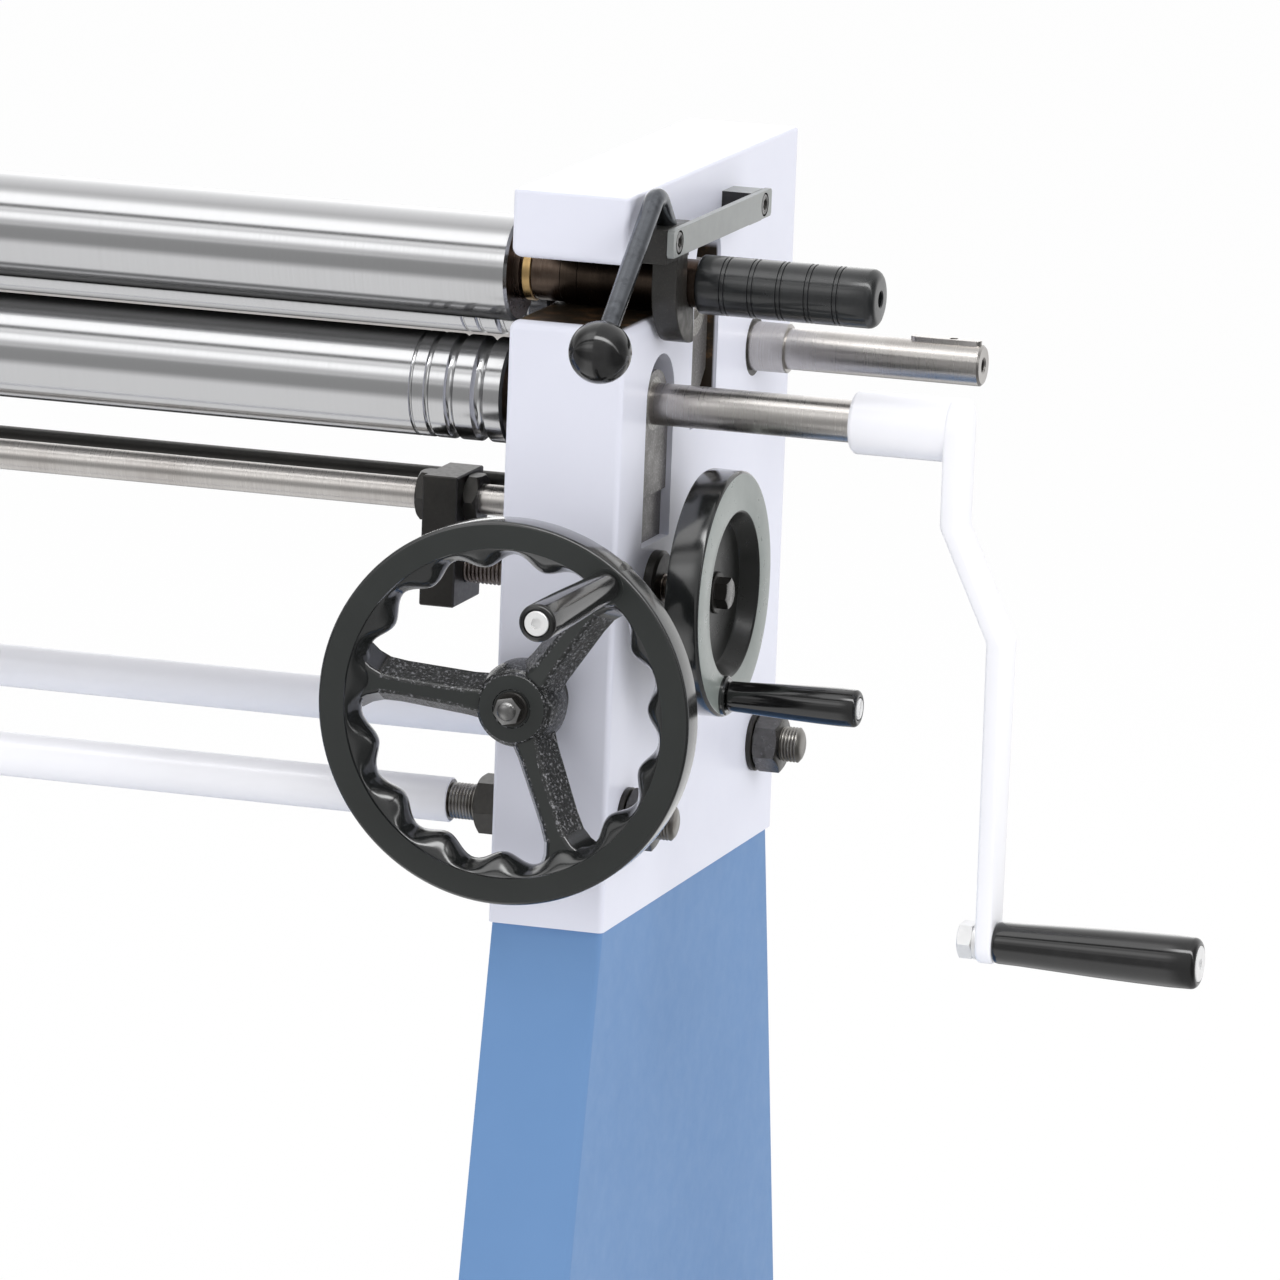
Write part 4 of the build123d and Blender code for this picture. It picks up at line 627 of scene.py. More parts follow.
class Bench:
    """Modelling steps that the pieces share, each done with mesh and object operators."""

    MERGE = 0.000002
    CHAMFER = 0.96

    @staticmethod
    def pick(obj: bpy.types.Object) -> None:
        """Selects one object alone and makes it the active one."""
        bpy.ops.object.select_all(action="DESELECT")
        obj.select_set(True)
        bpy.context.view_layer.objects.active = obj

    @staticmethod
    def smooth(angle: float) -> None:
        """Smooths what is selected, with edges over an angle in degrees left sharp."""
        bpy.ops.object.shade_smooth_by_angle(angle=math.radians(angle))

    @staticmethod
    def face_outwards(merge: float = 0.0) -> None:
        """Turns the edited mesh's faces outwards.

        Args:
            merge: Distance in metres within which doubles are merged first.
        """
        bpy.ops.mesh.select_all(action="SELECT")
        if merge:
            bpy.ops.mesh.remove_doubles(threshold=merge)
        bpy.ops.mesh.normals_make_consistent(inside=False)
        bpy.ops.object.mode_set(mode="OBJECT")

    @staticmethod
    def start(name: str, place: Vector) -> bpy.types.Object:
        """Starts a mesh as one vertex, in edit mode.

        Args:
            name: Name of the piece.
            place: Where the vertex lies.

        Returns:
            The object, in edit mode.
        """
        bpy.ops.object.select_all(action="DESELECT")
        bpy.ops.mesh.primitive_plane_add(size=0.01, location=(0, 0, 0))
        obj = bpy.context.object
        obj.name = name
        bpy.ops.object.mode_set(mode="EDIT")
        bpy.ops.mesh.select_mode(type="VERT")
        bpy.ops.mesh.select_all(action="SELECT")
        bpy.ops.mesh.merge(type="CENTER")
        bpy.ops.transform.translate(value=place)
        return obj

    @staticmethod
    def chain(points: list[Vector]) -> None:
        """Extrudes the selected vertex along points, from the first one.

        Args:
            points: The corners, the first being where the vertex is.
        """
        for here, there in zip(points, points[1:]):
            bpy.ops.mesh.extrude_vertices_move(
                TRANSFORM_OT_translate={"value": there - here})

    @classmethod
    def close(cls, obj: bpy.types.Object, angle: float = 35.0) -> bpy.types.Object:
        """Merges doubles, turns the faces outwards and smooths below an angle.

        Args:
            obj: Object in edit mode.
            angle: Edge angle in degrees that stays sharp.

        Returns:
            The object, in object mode.
        """
        cls.face_outwards(cls.MERGE)
        cls.smooth(angle)
        return obj

    @classmethod
    def turned(cls, name: str, profile: Profile, centre: Vector, ahead: Vector = OUT,
               steps: int = 72, angle: float = 35.0, aside: Vector = UP) -> bpy.types.Object:
        """Turns a profile about an axis through a centre.

        Args:
            name: Name of the piece.
            profile: (along, radius) in millimetres from the centre.
            centre: Point on the axis, in metres.
            ahead: Direction of the axis.
            steps: Steps round.
            angle: Edge angle in degrees that stays sharp.
            aside: Direction across the axis in which the profile is drawn.

        Returns:
            The piece.
        """
        points = [centre + ahead * a * MM + aside * r * MM for a, r in profile]
        obj = cls.start(name, points[0])
        cls.chain(points)
        bpy.ops.mesh.select_all(action="SELECT")
        bpy.ops.mesh.spin(steps=steps, angle=math.tau, center=centre, axis=ahead)
        return cls.close(obj, angle)

    @classmethod
    def slab(cls, name: str, outline: list[Vector], push: Vector,
             bevel: float = 0.0, segments: int = 2, angle: float = 35.0) -> bpy.types.Object:
        """Extrudes a closed outline and rounds its edges.

        Args:
            name: Name of the piece.
            outline: Corners in metres.
            push: Extrusion in metres.
            bevel: Edge rounding in millimetres.
            segments: Steps of the rounding.
            angle: Edge angle in degrees that stays sharp.

        Returns:
            The piece.
        """
        obj = cls.start(name, outline[0])
        cls.chain(outline)
        bpy.ops.mesh.select_all(action="SELECT")
        bpy.ops.mesh.edge_face_add()
        bpy.ops.mesh.extrude_region_move(TRANSFORM_OT_translate={"value": push})
        cls.close(obj, angle)
        if bevel:
            cls.bevel(obj, bevel, segments)
        return obj

    @staticmethod
    def bevel(obj: bpy.types.Object, width: float, segments: int = 2, angle: float = 30.0) -> None:
        """Rounds an object's edges with an applied modifier.

        Args:
            obj: The object.
            width: Width in millimetres.
            segments: Steps.
            angle: Least edge angle in degrees.
        """
        Bench.pick(obj)
        mod = obj.modifiers.new("edge", "BEVEL")
        mod.width = width * MM
        mod.segments = segments
        mod.limit_method = "ANGLE"
        mod.angle_limit = math.radians(angle)
        bpy.ops.object.modifier_apply(modifier=mod.name)
        Bench.smooth(35)

    @staticmethod
    def carve(obj: bpy.types.Object, tool: bpy.types.Object, operation: str = "DIFFERENCE") -> None:
        """Cuts or joins with another object, which is then removed.

        Args:
            obj: The object that stays.
            tool: The cutter or added body.
            operation: DIFFERENCE or UNION.
        """
        Bench.pick(obj)
        mod = obj.modifiers.new("cut", "BOOLEAN")
        mod.operation = operation
        mod.solver = "EXACT"
        mod.object = tool
        bpy.ops.object.modifier_apply(modifier=mod.name)
        bpy.data.objects.remove(tool)

    @staticmethod
    def join(name: str, parts: list[bpy.types.Object]) -> bpy.types.Object:
        """Joins objects into the first one.

        Args:
            name: Name of the result.
            parts: The objects.

        Returns:
            The joined object.
        """
        bpy.ops.object.select_all(action="DESELECT")
        for part in parts:
            part.select_set(True)
        bpy.context.view_layer.objects.active = parts[0]
        bpy.ops.object.join()
        parts[0].name = name
        return parts[0]

    @staticmethod
    def settle(obj: bpy.types.Object) -> bpy.types.Object:
        """Puts the object at the origin, with its place in its mesh."""
        Bench.pick(obj)
        bpy.ops.object.transform_apply(location=True, rotation=True, scale=True)
        return obj

    @staticmethod
    def mirrored(obj: bpy.types.Object, name: str) -> bpy.types.Object:
        """Copies a piece to the left side, with its own mesh.

        Args:
            obj: The right side's piece.
            name: Name of the copy.

        Returns:
            The copy.
        """
        Bench.pick(obj)
        bpy.ops.object.duplicate(linked=False)
        twin = bpy.context.object
        twin.name = name
        twin.scale = (-1, 1, 1)
        bpy.ops.object.transform_apply(location=True, rotation=True, scale=True)
        bpy.ops.object.mode_set(mode="EDIT")
        Bench.face_outwards()
        return twin

    @classmethod
    def both_sides(cls, name: str, parts: list[bpy.types.Object]) -> bpy.types.Object:
        """Joins the right side's parts with mirrored copies of them.

        Args:
            name: Name of the result.
            parts: The objects.

        Returns:
            The joined object.
        """
        right = cls.join(name, parts)
        return cls.join(name, [right, cls.mirrored(right, name + "_left")])

    @staticmethod
    def hexagon(centre: Vector, across: float, ahead: Vector = OUT,
                turn: float = 0.0) -> list[Vector]:
        """Corners of a hexagon across an axis.

        Args:
            centre: Its middle, in metres.
            across: Width across flats in millimetres.
            ahead: Direction of the axis.
            turn: Turn in degrees.

        Returns:
            Six corners.
        """
        side = UP.cross(ahead)
        return [centre + side * (u * MM) + UP * (v * MM)
                for u, v in arc(0, 0, across / math.sqrt(3), turn, 300, 5)]

    @classmethod
    def nut(cls, name: str, centre: Vector, across: float, thick: float, ahead: Vector = OUT,
            turn: float = 0.0) -> bpy.types.Object:
        """Hexagon nut or bolt head with coned corners.

        Args:
            name: Name of the piece.
            centre: Middle of its seat face, in metres.
            across: Width across flats in millimetres.
            thick: Thickness in millimetres; negative points the other way.
            ahead: Direction in which it grows.
            turn: Turn in degrees.

        Returns:
            The piece.
        """
        body = cls.slab(name, cls.hexagon(centre, across, ahead, turn), ahead * thick * MM)
        corner, face = across / math.sqrt(3), across / 2 * cls.CHAMFER
        slope = (corner - face) * math.copysign(0.6, thick)
        corner += 0.5
        cone = cls.turned(name + "-cone", [(0, 0), (0, face), (slope, corner),
                                           (thick - slope, corner), (thick, face), (thick, 0)],
                          centre, ahead, 48)
        cls.carve(body, cone, "INTERSECT")
        cls.smooth(30)
        return body


class Rack:
    """Puts finished pieces on bodies and in place of nodes."""

    def __init__(self, wardrobe: Wardrobe) -> None:
        """Keeps the finishes.

        Args:
            wardrobe: The finishes.
        """
        self.wardrobe = wardrobe

    def place(self, obj: bpy.types.Object, body: str, slot: str, coat: Coat | None,
              *nodes: str) -> bpy.types.Object:
        """Settles, dresses and mounts a piece.

        Args:
            obj: The piece.
            body: CAD body that it rides on.
            slot: Material slot of the record; not used.
            coat: Its finish, or None where it has its own.
            nodes: CAD nodes that it stands for.

        Returns:
            The piece.
        """
        Bench.settle(obj)
        if coat is not None:
            self.wardrobe.dress(obj, coat)
        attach(obj, body)
        if nodes:
            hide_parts(*nodes)
        LOG.info("piece %s on %s", obj.name, body)
        return obj

    def tones(self, obj: bpy.types.Object, coats: tuple[Coat, ...], chosen: Chooser) -> None:
        """Dresses an object's faces in several finishes.

        Args:
            obj: The piece.
            coats: Its finishes.
            chosen: Index of a face's finish from its centre and normal.
        """
        self.wardrobe.dress(obj, coats[0])
        for coat in coats[1:]:
            obj.data.materials.append(self.wardrobe.materials[coat])
        for face in obj.data.polygons:
            face.material_index = chosen(face.center, face.normal)

    def two_tone(self, obj: bpy.types.Object, base: Coat, accent: Coat, chosen: Chooser) -> None:
        """Dresses chosen faces in a second finish.

        Args:
            obj: The piece.
            base: Finish of most faces.
            accent: Finish of the chosen faces.
            chosen: Test of a face's centre and normal.
        """
        self.tones(obj, (base, accent), lambda c, n: int(chosen(c, n)))


@dataclass
class Rolls:
    """The three ground rolls, with wire grooves on the lower and the rear one."""

    radius: float = 37.5
    half: float = 514.0
    neck: float = 22.0
    shaft: float = 15.0
    journal: float = 17.0
    neck_end: float = 533.0
    top_neck_end: float = 518.5
    groove_setbacks: tuple[float, ...] = (68.1, 56.5, 39.7, 18.6)
    groove_widths: tuple[float, ...] = (2.8, 4.2, 7.0, 9.8)
    groove_share: float = 0.3
    bare: float = 545.0
    pinch_bare: float = 700.0
    steps: int = 144

    def ends(self, neck_end: float) -> tuple[Profile, Profile]:
        """Shoulders of a roll's left and right end.

        Args:
            neck_end: Where the necks end, from the middle.

        Returns:
            The left and the right end's (along, radius) points.
        """
        cut = 2.0
        right = [(self.half - cut, self.radius), (self.half, self.radius - cut),
                 (self.half, self.neck), (neck_end, self.neck)]
        return [(-a, r) for a, r in reversed(right)], right

    def grooves(self) -> Profile:
        """Arcs of the wire grooves from left to right.

        Returns:
            (along, radius) points.
        """
        points = []
        for setback, width in zip(self.groove_setbacks, self.groove_widths):
            depth = width * self.groove_share
            section = (width ** 2 / 4 + depth ** 2) / (2 * depth)
            for step in range(-4, 5):
                aside = width / 2 * step / 4
                rise = section - math.sqrt(section ** 2 - aside ** 2)
                points.append((self.half - setback + aside, self.radius - depth + rise))
        return points

    def tone(self, reach: float, facing: float, bare: float) -> int:
        """Finish of a face: ground roll, brown neck and end face (grease with painted shade) or
        bright end.

        Args:
            reach: Distance from the middle plane, in metres.
            facing: Part of its normal that points to the right.
            bare: Distance past which the end is bright.

        Returns:
            Index of the finish.
        """
        neck = reach > (self.half - 0.1) * MM and (facing > 0.9 or reach > self.half * MM)
        return int(neck) + int(reach > bare)

    def build(self, rack: Rack) -> None:
        """Turns the rolls.

        Args:
            rack: Mounts the pieces.
        """
        low, top = axle(PINCH_BACK, LOWER_RISE), axle(PINCH_BACK, TOP_RISE)
        rear = axle(REAR_BACK, REAR_RISE)
        left, right = self.ends(self.neck_end)
        shaft, end = self.shaft, self.neck_end
        lower = [(-662, 0), (-662, 14), (-661, 15), (-end, shaft)] + left + self.grooves() + right
        lower += [(end, shaft), (841, 15), (842, 14), (842, 0)]
        idle = [(-609, 0), (-609, shaft), (-end, shaft)] + left + self.grooves() + right
        idle += [(end, shaft), (609, shaft), (609, 0)]
        left, right = self.ends(self.top_neck_end)
        pinch = [(-641, 0), (-641, 15), (-622, 15), (-622, self.journal),
                 (-self.top_neck_end, self.journal)] + left + right
        pinch += [(self.top_neck_end, self.journal), (647.5, self.journal), (647.5, 12),
                  (764.5, 12), (764.5, 0)]
        for name, profile, axis, body, ground, bare in (
                ("lower_roll", lower, low, "lower_spin", Coat.ROLL_STEEL, self.bare),
                ("rear_roll", idle, rear, "rear_spin", Coat.ROLL_STEEL, self.bare),
                ("top_roll", pinch, top, "top_spin", Coat.PINCH_STEEL, self.pinch_bare)):
            obj = Bench.turned(name + "_skin", profile, axis, OUT, self.steps, 25)
            rack.place(obj, body, "steel_ground", None, name)
            # necks and end faces get grease with painted shade
            rack.tones(obj, (ground, Coat.NECK_GREASE_AND_SHADE, Coat.TURNED_STEEL),
                       lambda c, n, bare=bare: self.tone(abs(c.x), n.x, bare * MM))


@dataclass
class Handle:
    """A revolving handle with its bright end screw."""

    length: float
    root: float
    widest: float
    cap: float = 8.6
    bore: float = 5.05

    def profile(self) -> Profile:
        """Half section from the root's bore to the recess of the end screw."""
        low, high = self.root / 2, self.widest / 2
        shares = ((0.0, 0.0), (0.02, 0.10), (0.06, 0.12), (0.12, 0.16), (0.2, 0.28), (0.3, 0.42),
                  (0.4, 0.56), (0.5, 0.7), (0.6, 0.81), (0.7, 0.91), (0.8, 0.97), (0.86, 1.0))
        points = [(0.0, self.bore), (0.0, low - 0.8)]
        points += [(max(share * self.length, 0.8), low + (high - low) * rise)
                   for share, rise in shares]
        rounding = high * 0.26
        points += arc(self.length - rounding, high * 0.985 - rounding, rounding, 90, -90, 6)
        points += [(self.length - 0.4, self.cap + 1.0), (self.length - 1.6, self.cap + 0.3),
                   (self.length - 3.0, self.cap + 0.3), (self.length - 3.0, self.bore)]
        return points

    def build(self, rack: Rack, name: str, place: Vector, ahead: Vector, body: str,
              node: str) -> bpy.types.Object:
        """Turns the grip.

        Args:
            rack: Mounts the piece.
            name: Name of the piece.
            place: Middle of its root face.
            ahead: Direction in which it points away.
            body: CAD body.
            node: CAD node that it stands for.

        Returns:
            The grip.
        """
        obj = Bench.turned(name, self.profile(), place, ahead, 64, 40)
        return rack.place(obj, body, "plastic_black", Coat.GLOSS_BLACK, node)

    def screw(self, rack: Rack, name: str, place: Vector, ahead: Vector, body: str,
              bite: float, node: str, socket: bool = True) -> bpy.types.Object:
        """Makes the shoulder screw with a socket or a slot in its bright end.

        Args:
            rack: Mounts the piece.
            name: Name of the piece.
            place: Middle of the grip's root face.
            ahead: Direction in which it points away.
            body: CAD body.
            bite: Millimetres that it reaches behind the root.
            node: CAD node that it stands for.
            socket: A hexagon socket instead of a slot.

        Returns:
            The screw.
        """
        end = self.length + 0.4
        profile = [(-bite, 0), (-bite, 5), (end - 3.2, 5), (end - 3.2, self.cap),
                   (end - 0.5, self.cap), (end, self.cap - 0.6), (end, 0)]
        obj = Bench.turned(name, profile, place, ahead, 48, 30)
        start = place + ahead * (end - 2.4) * MM
        if socket:
            tool = Bench.slab(name + "-socket", Bench.hexagon(start, 7.0, ahead, 10),
                              ahead * 4 * MM)
        else:
            across = UP.cross(ahead) * 0.35 + UP * 0.94
            side = ahead.cross(across).normalized() * 0.9 * MM
            long = across.normalized() * 7 * MM
            tool = Bench.slab(name + "-slot", [start - side - long, start + side - long,
                                               start + side + long, start - side + long],
                              ahead * 4 * MM)
        Bench.carve(obj, tool)
        Bench.smooth(30)
        return rack.place(obj, body, "steel_turned", Coat.CAP_STEEL, node)


@dataclass
class FrontHandwheels:
    """Two cast handwheels with waved grips, drafted spokes and a domed nut."""

    reach: float = 28.0
    rise: float = 165.0
    radius: float = 136.0
    face: float = 70.0
    depth: float = 25.0
    ring: float = 117.0
    edge: float = 3.0
    wave_height: float = 4.6
    wave_edge: float = 116.0
    wave_fade: float = 7.0
    waves: int = 15
    rim_drop: float = 11.0
    dish: float = 12.0
    spoke_span: tuple[float, float] = (26.0, 108.0)
    spoke_half: Profile = field(default_factory=lambda: [
        (12.0, 8.0), (27.0, 7.4), (36.0, 6.4), (84.0, 5.6), (96.0, 6.4), (104.0, 9.5),
        (112.0, 15.5)])
    spoke_depth: float = 21.0
    spoke_draft: float = 10.0
    rim_from: float = 0.1
    stud_from: float = 0.058
    thread_front: float = 0.045
    spokes: tuple[float, ...] = (53.5, 173.5, 293.5)
    handle_radius: float = 121.0
    handle: Handle = field(default_factory=lambda: Handle(150.0, 22.0, 27.0))

    def rim(self, centre: Vector) -> bpy.types.Object:
        """Turns the rim and waves its inner flange.

        Args:
            centre: The wheel's axis at the casting's front.

        Returns:
            The rim.
        """
        back = self.face - self.depth
        radius = self.radius
        edge = self.edge
        profile = [(self.face, self.ring), (self.face, radius - edge)]
        profile += arc(self.face - edge, radius - edge, edge, 18, 72, 4)
        profile += arc(back + edge, radius - edge, edge, 90, 90, 5)
        profile += [(back, 118.0), (back, 110.0), (back + 1.2, 107.6), (back + 3.5, 106.2),
                    (back + 7.0, 105.9), (back + 10.5, 106.6), (back + 14.0, 108.4),
                    (back + 17.5, 110.8), (back + 20.5, 113.2), (back + 22.6, 115.2),
                    (back + 23.2, 116.4), (self.face, self.ring)]
        obj = Bench.turned("front_wheel_rim", profile, centre, FRONT, 240, 40)
        for vertex in obj.data.vertices:
            away = vertex.co - centre
            radial = math.hypot(away.x, away.z) / MM
            if radial > self.wave_edge:
                continue
            angle = math.atan2(away.z, away.x) - math.radians(self.spokes[0])
            weight = min(1.0, (self.wave_edge - radial) / self.wave_fade)
            shift = -self.wave_height * weight * math.cos(self.waves * angle)
            grow = (radial + shift) / radial
            vertex.co.x = centre.x + away.x * grow
            vertex.co.z = centre.z + away.z * grow
        return obj

    def front(self, along: float) -> float:
        """Height of a spoke's front at a distance from the axis, in millimetres."""
        inner, outer = self.spoke_span
        return self.face - self.rim_drop - self.dish * (outer - along) / (outer - inner)

    def spoke(self, centre: Vector, angle: float) -> bpy.types.Object:
        """Makes one drafted spoke, narrow in front and wide behind.

        Args:
            centre: The wheel's axis at the casting's front.
            angle: Direction in degrees.

        Returns:
            The spoke.
        """
        turn = math.radians(angle)
        cosine, sine = math.cos(turn), math.sin(turn)
        outline = [(u, -v) for u, v in self.spoke_half]
        outline += [(u, v) for u, v in reversed(self.spoke_half)]
        corners = [centre + Vector(((u * cosine - v * sine) * MM, -self.front(u) * MM,
                                    (u * sine + v * cosine) * MM)) for u, v in outline]
        obj = Bench.slab("front_wheel_spoke", corners, Vector((0, self.spoke_depth * MM, 0)))
        for vertex in obj.data.vertices:
            away = vertex.co - centre
            u = away.x * cosine + away.z * sine
            if -away.y > (self.front(u / MM) - 5) * MM:
                continue
            v = -away.x * sine + away.z * cosine
            v += math.copysign(self.spoke_draft * MM, v)
            vertex.co.x = centre.x + u * cosine - v * sine
            vertex.co.z = centre.z + u * sine + v * cosine
        Bench.bevel(obj, 2.2, 3, 20)
        return obj

    def hub(self, centre: Vector) -> bpy.types.Object:
        """Turns the hub with its faced front and draughted body."""
        profile = [(16, 0), (16, 28), (18, 31), (28, 31), (40, 28.8), (44, 27.4), (45.6, 25.4),
                   (48.3, 24.6), (49, 23.8), (49, 14.0), (48.4, 13.4), (48.4, 0)]
        return Bench.turned("front_wheel_hub", profile, centre, FRONT, 96, 30)

    def tone(self, radial: float, normal: Vector) -> int:
        """Finish of a face: rough casting, satin front or glossy rim.

        Args:
            radial: Distance from the wheel's axis, in metres.
            normal: Direction of the face.

        Returns:
            Index of the finish.
        """
        if normal.y < -0.97:
            return 1
        return 2 if radial > self.rim_from else 0

    def nut(self, centre: Vector) -> bpy.types.Object:
        """Washer, hexagon nut and the screw's domed end."""
        washer = Bench.turned("front_wheel_washer", [(48, 0), (48, 12.2), (50.4, 12.2),
                                                     (51, 11.6), (51, 0)], centre, FRONT, 48, 30)
        seat = centre + Vector((0, -51 * MM, 0))
        nut = Bench.nut("front_wheel_nut", seat, 18.0, 8.5, FRONT, 12)
        return Bench.join("front_wheel_nut", [nut, washer])

    @staticmethod
    def screw(centre: Vector) -> bpy.types.Object:
        """Turns the screw with its thread and its domed end in the nut."""
        profile = [(-330, 0), (-330, 8), (-328, 9.5)] + Threads.ridges(-327, -120, 10.0, 3.0)
        profile += [(-119, 10), (16, 10), (16, 8), (50, 8), (50, 6.8), (60.5, 6.8), (62.0, 5.4),
                    (62.8, 3.0), (63, 0)]
        return Bench.turned("front_screw_threaded", profile, centre, FRONT, 40, 40)

    def build(self, rack: Rack) -> None:
        """Builds the right wheel and its mirrored copy.

        Args:
            rack: Mounts the pieces.
        """
        centre = at(self.reach, 0, self.rise)
        turn = math.radians(self.spokes[0])
        grip = at(self.reach + self.handle_radius * math.cos(turn), -self.face,
                  self.rise + self.handle_radius * math.sin(turn))
        boss = Bench.turned("front_wheel_boss", [(-24, 0), (-24, 15.5), (-3, 15.0), (-1, 14.0),
                                                 (0.3, 13.0), (0.3, 0)], grip, FRONT, 48, 35)
        parts = [self.rim(centre)] + [self.spoke(centre, a) for a in self.spokes]
        parts += [self.hub(centre), boss]
        wheel = Bench.join("front_wheel", parts)
        right = (wheel, self.nut(centre), self.screw(centre))
        left = tuple(Bench.mirrored(obj, obj.name + "_left") for obj in right)
        for side, (body, cap, screw) in (("right", right), ("left", left)):
            mark = 1 if side == "right" else -1
            hub = Vector((mark * centre.x, centre.y, centre.z))
            rack.place(body, f"front_wheel_{side}", "paint_wheel", None,
                       f"front_handwheel_{side}")
            rack.tones(body, (Coat.CAST_BLACK, Coat.RING_BLACK, Coat.RIM_GLOSS),
                       lambda c, n, hub=hub: self.tone(math.hypot(c.x - hub.x, c.z - hub.z), n))
            body.name = f"front_wheel_casting_{side}"
            rack.place(cap, f"front_wheel_{side}", "steel_turned", None)
            rack.two_tone(cap, Coat.DARK_STEEL, Coat.STUD_STEEL,
                          lambda c, n, hub=hub: n.y < -0.4 and c.y < hub.y - self.stud_from)
            cap.name = f"front_wheel_fastening_{side}"
            rack.place(screw, f"front_wheel_{side}", "steel_turned", None, f"front_screw_{side}")
            rack.two_tone(screw, Coat.GREASY_STEEL, Coat.STUD_STEEL,
                          lambda c, n, hub=hub: c.y < hub.y - self.thread_front)
            screw.name = f"front_screw_threaded_{side}"
            place = Vector((mark * grip.x, grip.y - 0.0007, grip.z))
            self.handle.build(rack, f"front_grip_{side}", place, FRONT, f"front_grip_{side}",
                              f"front_handle_{side}")
            self.handle.screw(rack, f"front_grip_screw_{side}", place, FRONT,
                              f"front_wheel_{side}", 25, f"front_handle_pin_{side}")


@dataclass
class SideHandwheel:
    """The dished side handwheel with its bolt, boss, handle and greasy spindle."""

    back: float = PINCH_BACK
    rise: float = 234.0
    face: float = 145.5
    boss: float = 3.5
    handle_radius: float = 72.0
    handle_turn: float = math.radians(-103)
    bolt_drop: float = 0.008
    dish_radius: float = 0.059
    handle: Handle = field(default_factory=lambda: Handle(96.0, 21.0, 27.0, 7.6))

    def build(self, rack: Rack) -> None:
        """Turns and mounts the wheel's pieces.

        Args:
            rack: Mounts the pieces.
        """
        centre = at(0, self.back, self.rise)
        face = self.face
        profile = [(106, 0), (106, 19), (107, 20), (121, 25), (123.5, 27), (123.5, 51),
                   (120.5, 61), (120, 64), (120, 84.5), (120.8, 86.6), (123, 87.5),
                   (142.5, 87.5)]
        profile += arc(face - 3.0, 84.5, 3.0, 72, -72, 4)
        profile += [(face, 59.5), (face - 0.5, 58.3), (face - 1.4, 57.6), (134, 53.5),
                    (132.4, 52.0), (131.6, 49), (131.4, 24), (131.5, 18), (131.5, 0)]
        wheel = Bench.turned("side_wheel_casting", profile, centre, OUT, 160, 30)
        grip = at(face + self.boss, self.back + self.handle_radius * math.cos(self.handle_turn),
                  self.rise + self.handle_radius * math.sin(self.handle_turn))
        boss = Bench.turned("side_wheel_boss", [(-18, 0), (-18, 14), (-1.2, 14), (0, 12.8),
                                                (0, 0)], grip, OUT, 48, 35)
        wheel = Bench.join("side_wheel_casting", [wheel, boss])
        rack.place(wheel, "side_wheel", "paint_wheel", None, "side_handwheel")
        front = at(face, 0, 0).x
        rack.tones(wheel, (Coat.RIM_GLOSS, Coat.FACE_GREY, Coat.PIT_BLACK),
                   lambda c, n: self.tone(c.x - front, math.hypot(c.y - centre.y,
                                                                  c.z - centre.z), n))
        bolt = Bench.nut("side_wheel_bolt", at(131.5, self.back, self.rise), 19.5, 11.0, OUT, 15)
        ring = Bench.turned("side_wheel_bolt_ring",
                            [(131.2, 0), (131.2, 15), (133, 15), (133.6, 14.3), (133.6, 0)],
                            centre, OUT, 48, 30)
        bolt = Bench.join("side_wheel_bolt", [bolt, ring])
        rack.place(bolt, "side_wheel", "steel_turned", None)
        rack.two_tone(bolt, Coat.DARK_STEEL, Coat.STUD_STEEL,
                      lambda c, n: n.x > 0.9 and c.x > front - self.bolt_drop)
        place = grip + Vector((0.0004, 0, 0))
        self.handle.build(rack, "side_grip", place, OUT, "side_grip", "side_handle")
        self.handle.screw(rack, "side_grip_screw", place, OUT, "side_wheel", 22,
                          "side_handle_pin", False)
        self.spindle(rack, centre)

    def tone(self, ahead: float, radial: float, normal: Vector) -> int:
        """Finish of a face: glossy rim, polished front or dark recess.

        Args:
            ahead: Distance in front of the wheel's face, in metres.
            radial: Distance from the wheel's axis.
            normal: Direction of the face.

        Returns:
            Index of the finish.
        """
        if abs(ahead) < 0.0004 and normal.x > 0.98:
            return 1
        return 2 if radial < self.dish_radius and ahead < MM else 0

    def spindle(self, rack: Rack, centre: Vector) -> None:
        """Turns the spindle with its threads at the yoke and in front of the casting.

        Args:
            rack: Mounts the piece.
            centre: The axis at the inner face.
        """
        profile = [(-78, 0), (-78, 8), (-76, 10)]
        profile += Threads.ridges(-76, 6, 10.0, 3.0)
        profile += [(8, 8.8), (86, 8.8)]
        profile += Threads.ridges(86, 104, 10.0, 3.0)
        profile += [(106, 8), (131, 8), (131, 0)]
        obj = Bench.turned("side_spindle", profile, centre, OUT, 40, 60)
        rack.place(obj, "side_wheel", "steel_turned", Coat.GREASY_STEEL, "side_screw")


class Threads:
    """Ridge profiles of plain vee threads."""

    @staticmethod
    def ridges(start: float, end: float, radius: float, pitch: float) -> Profile:
        """Half section of a thread.

        Args:
            start: First place along the axis, in millimetres.
            end: Last place.
            radius: Outer radius.
            pitch: Distance between crests.

        Returns:
            (along, radius) points.
        """
        depth = pitch * 0.5
        count = int((end - start) / pitch)
        points = []
        for turn in range(count):
            here = start + turn * pitch
            points += [(here, radius - depth), (here + pitch * 0.42, radius),
                       (here + pitch * 0.58, radius)]
        points.append((start + count * pitch, radius - depth))
        return points


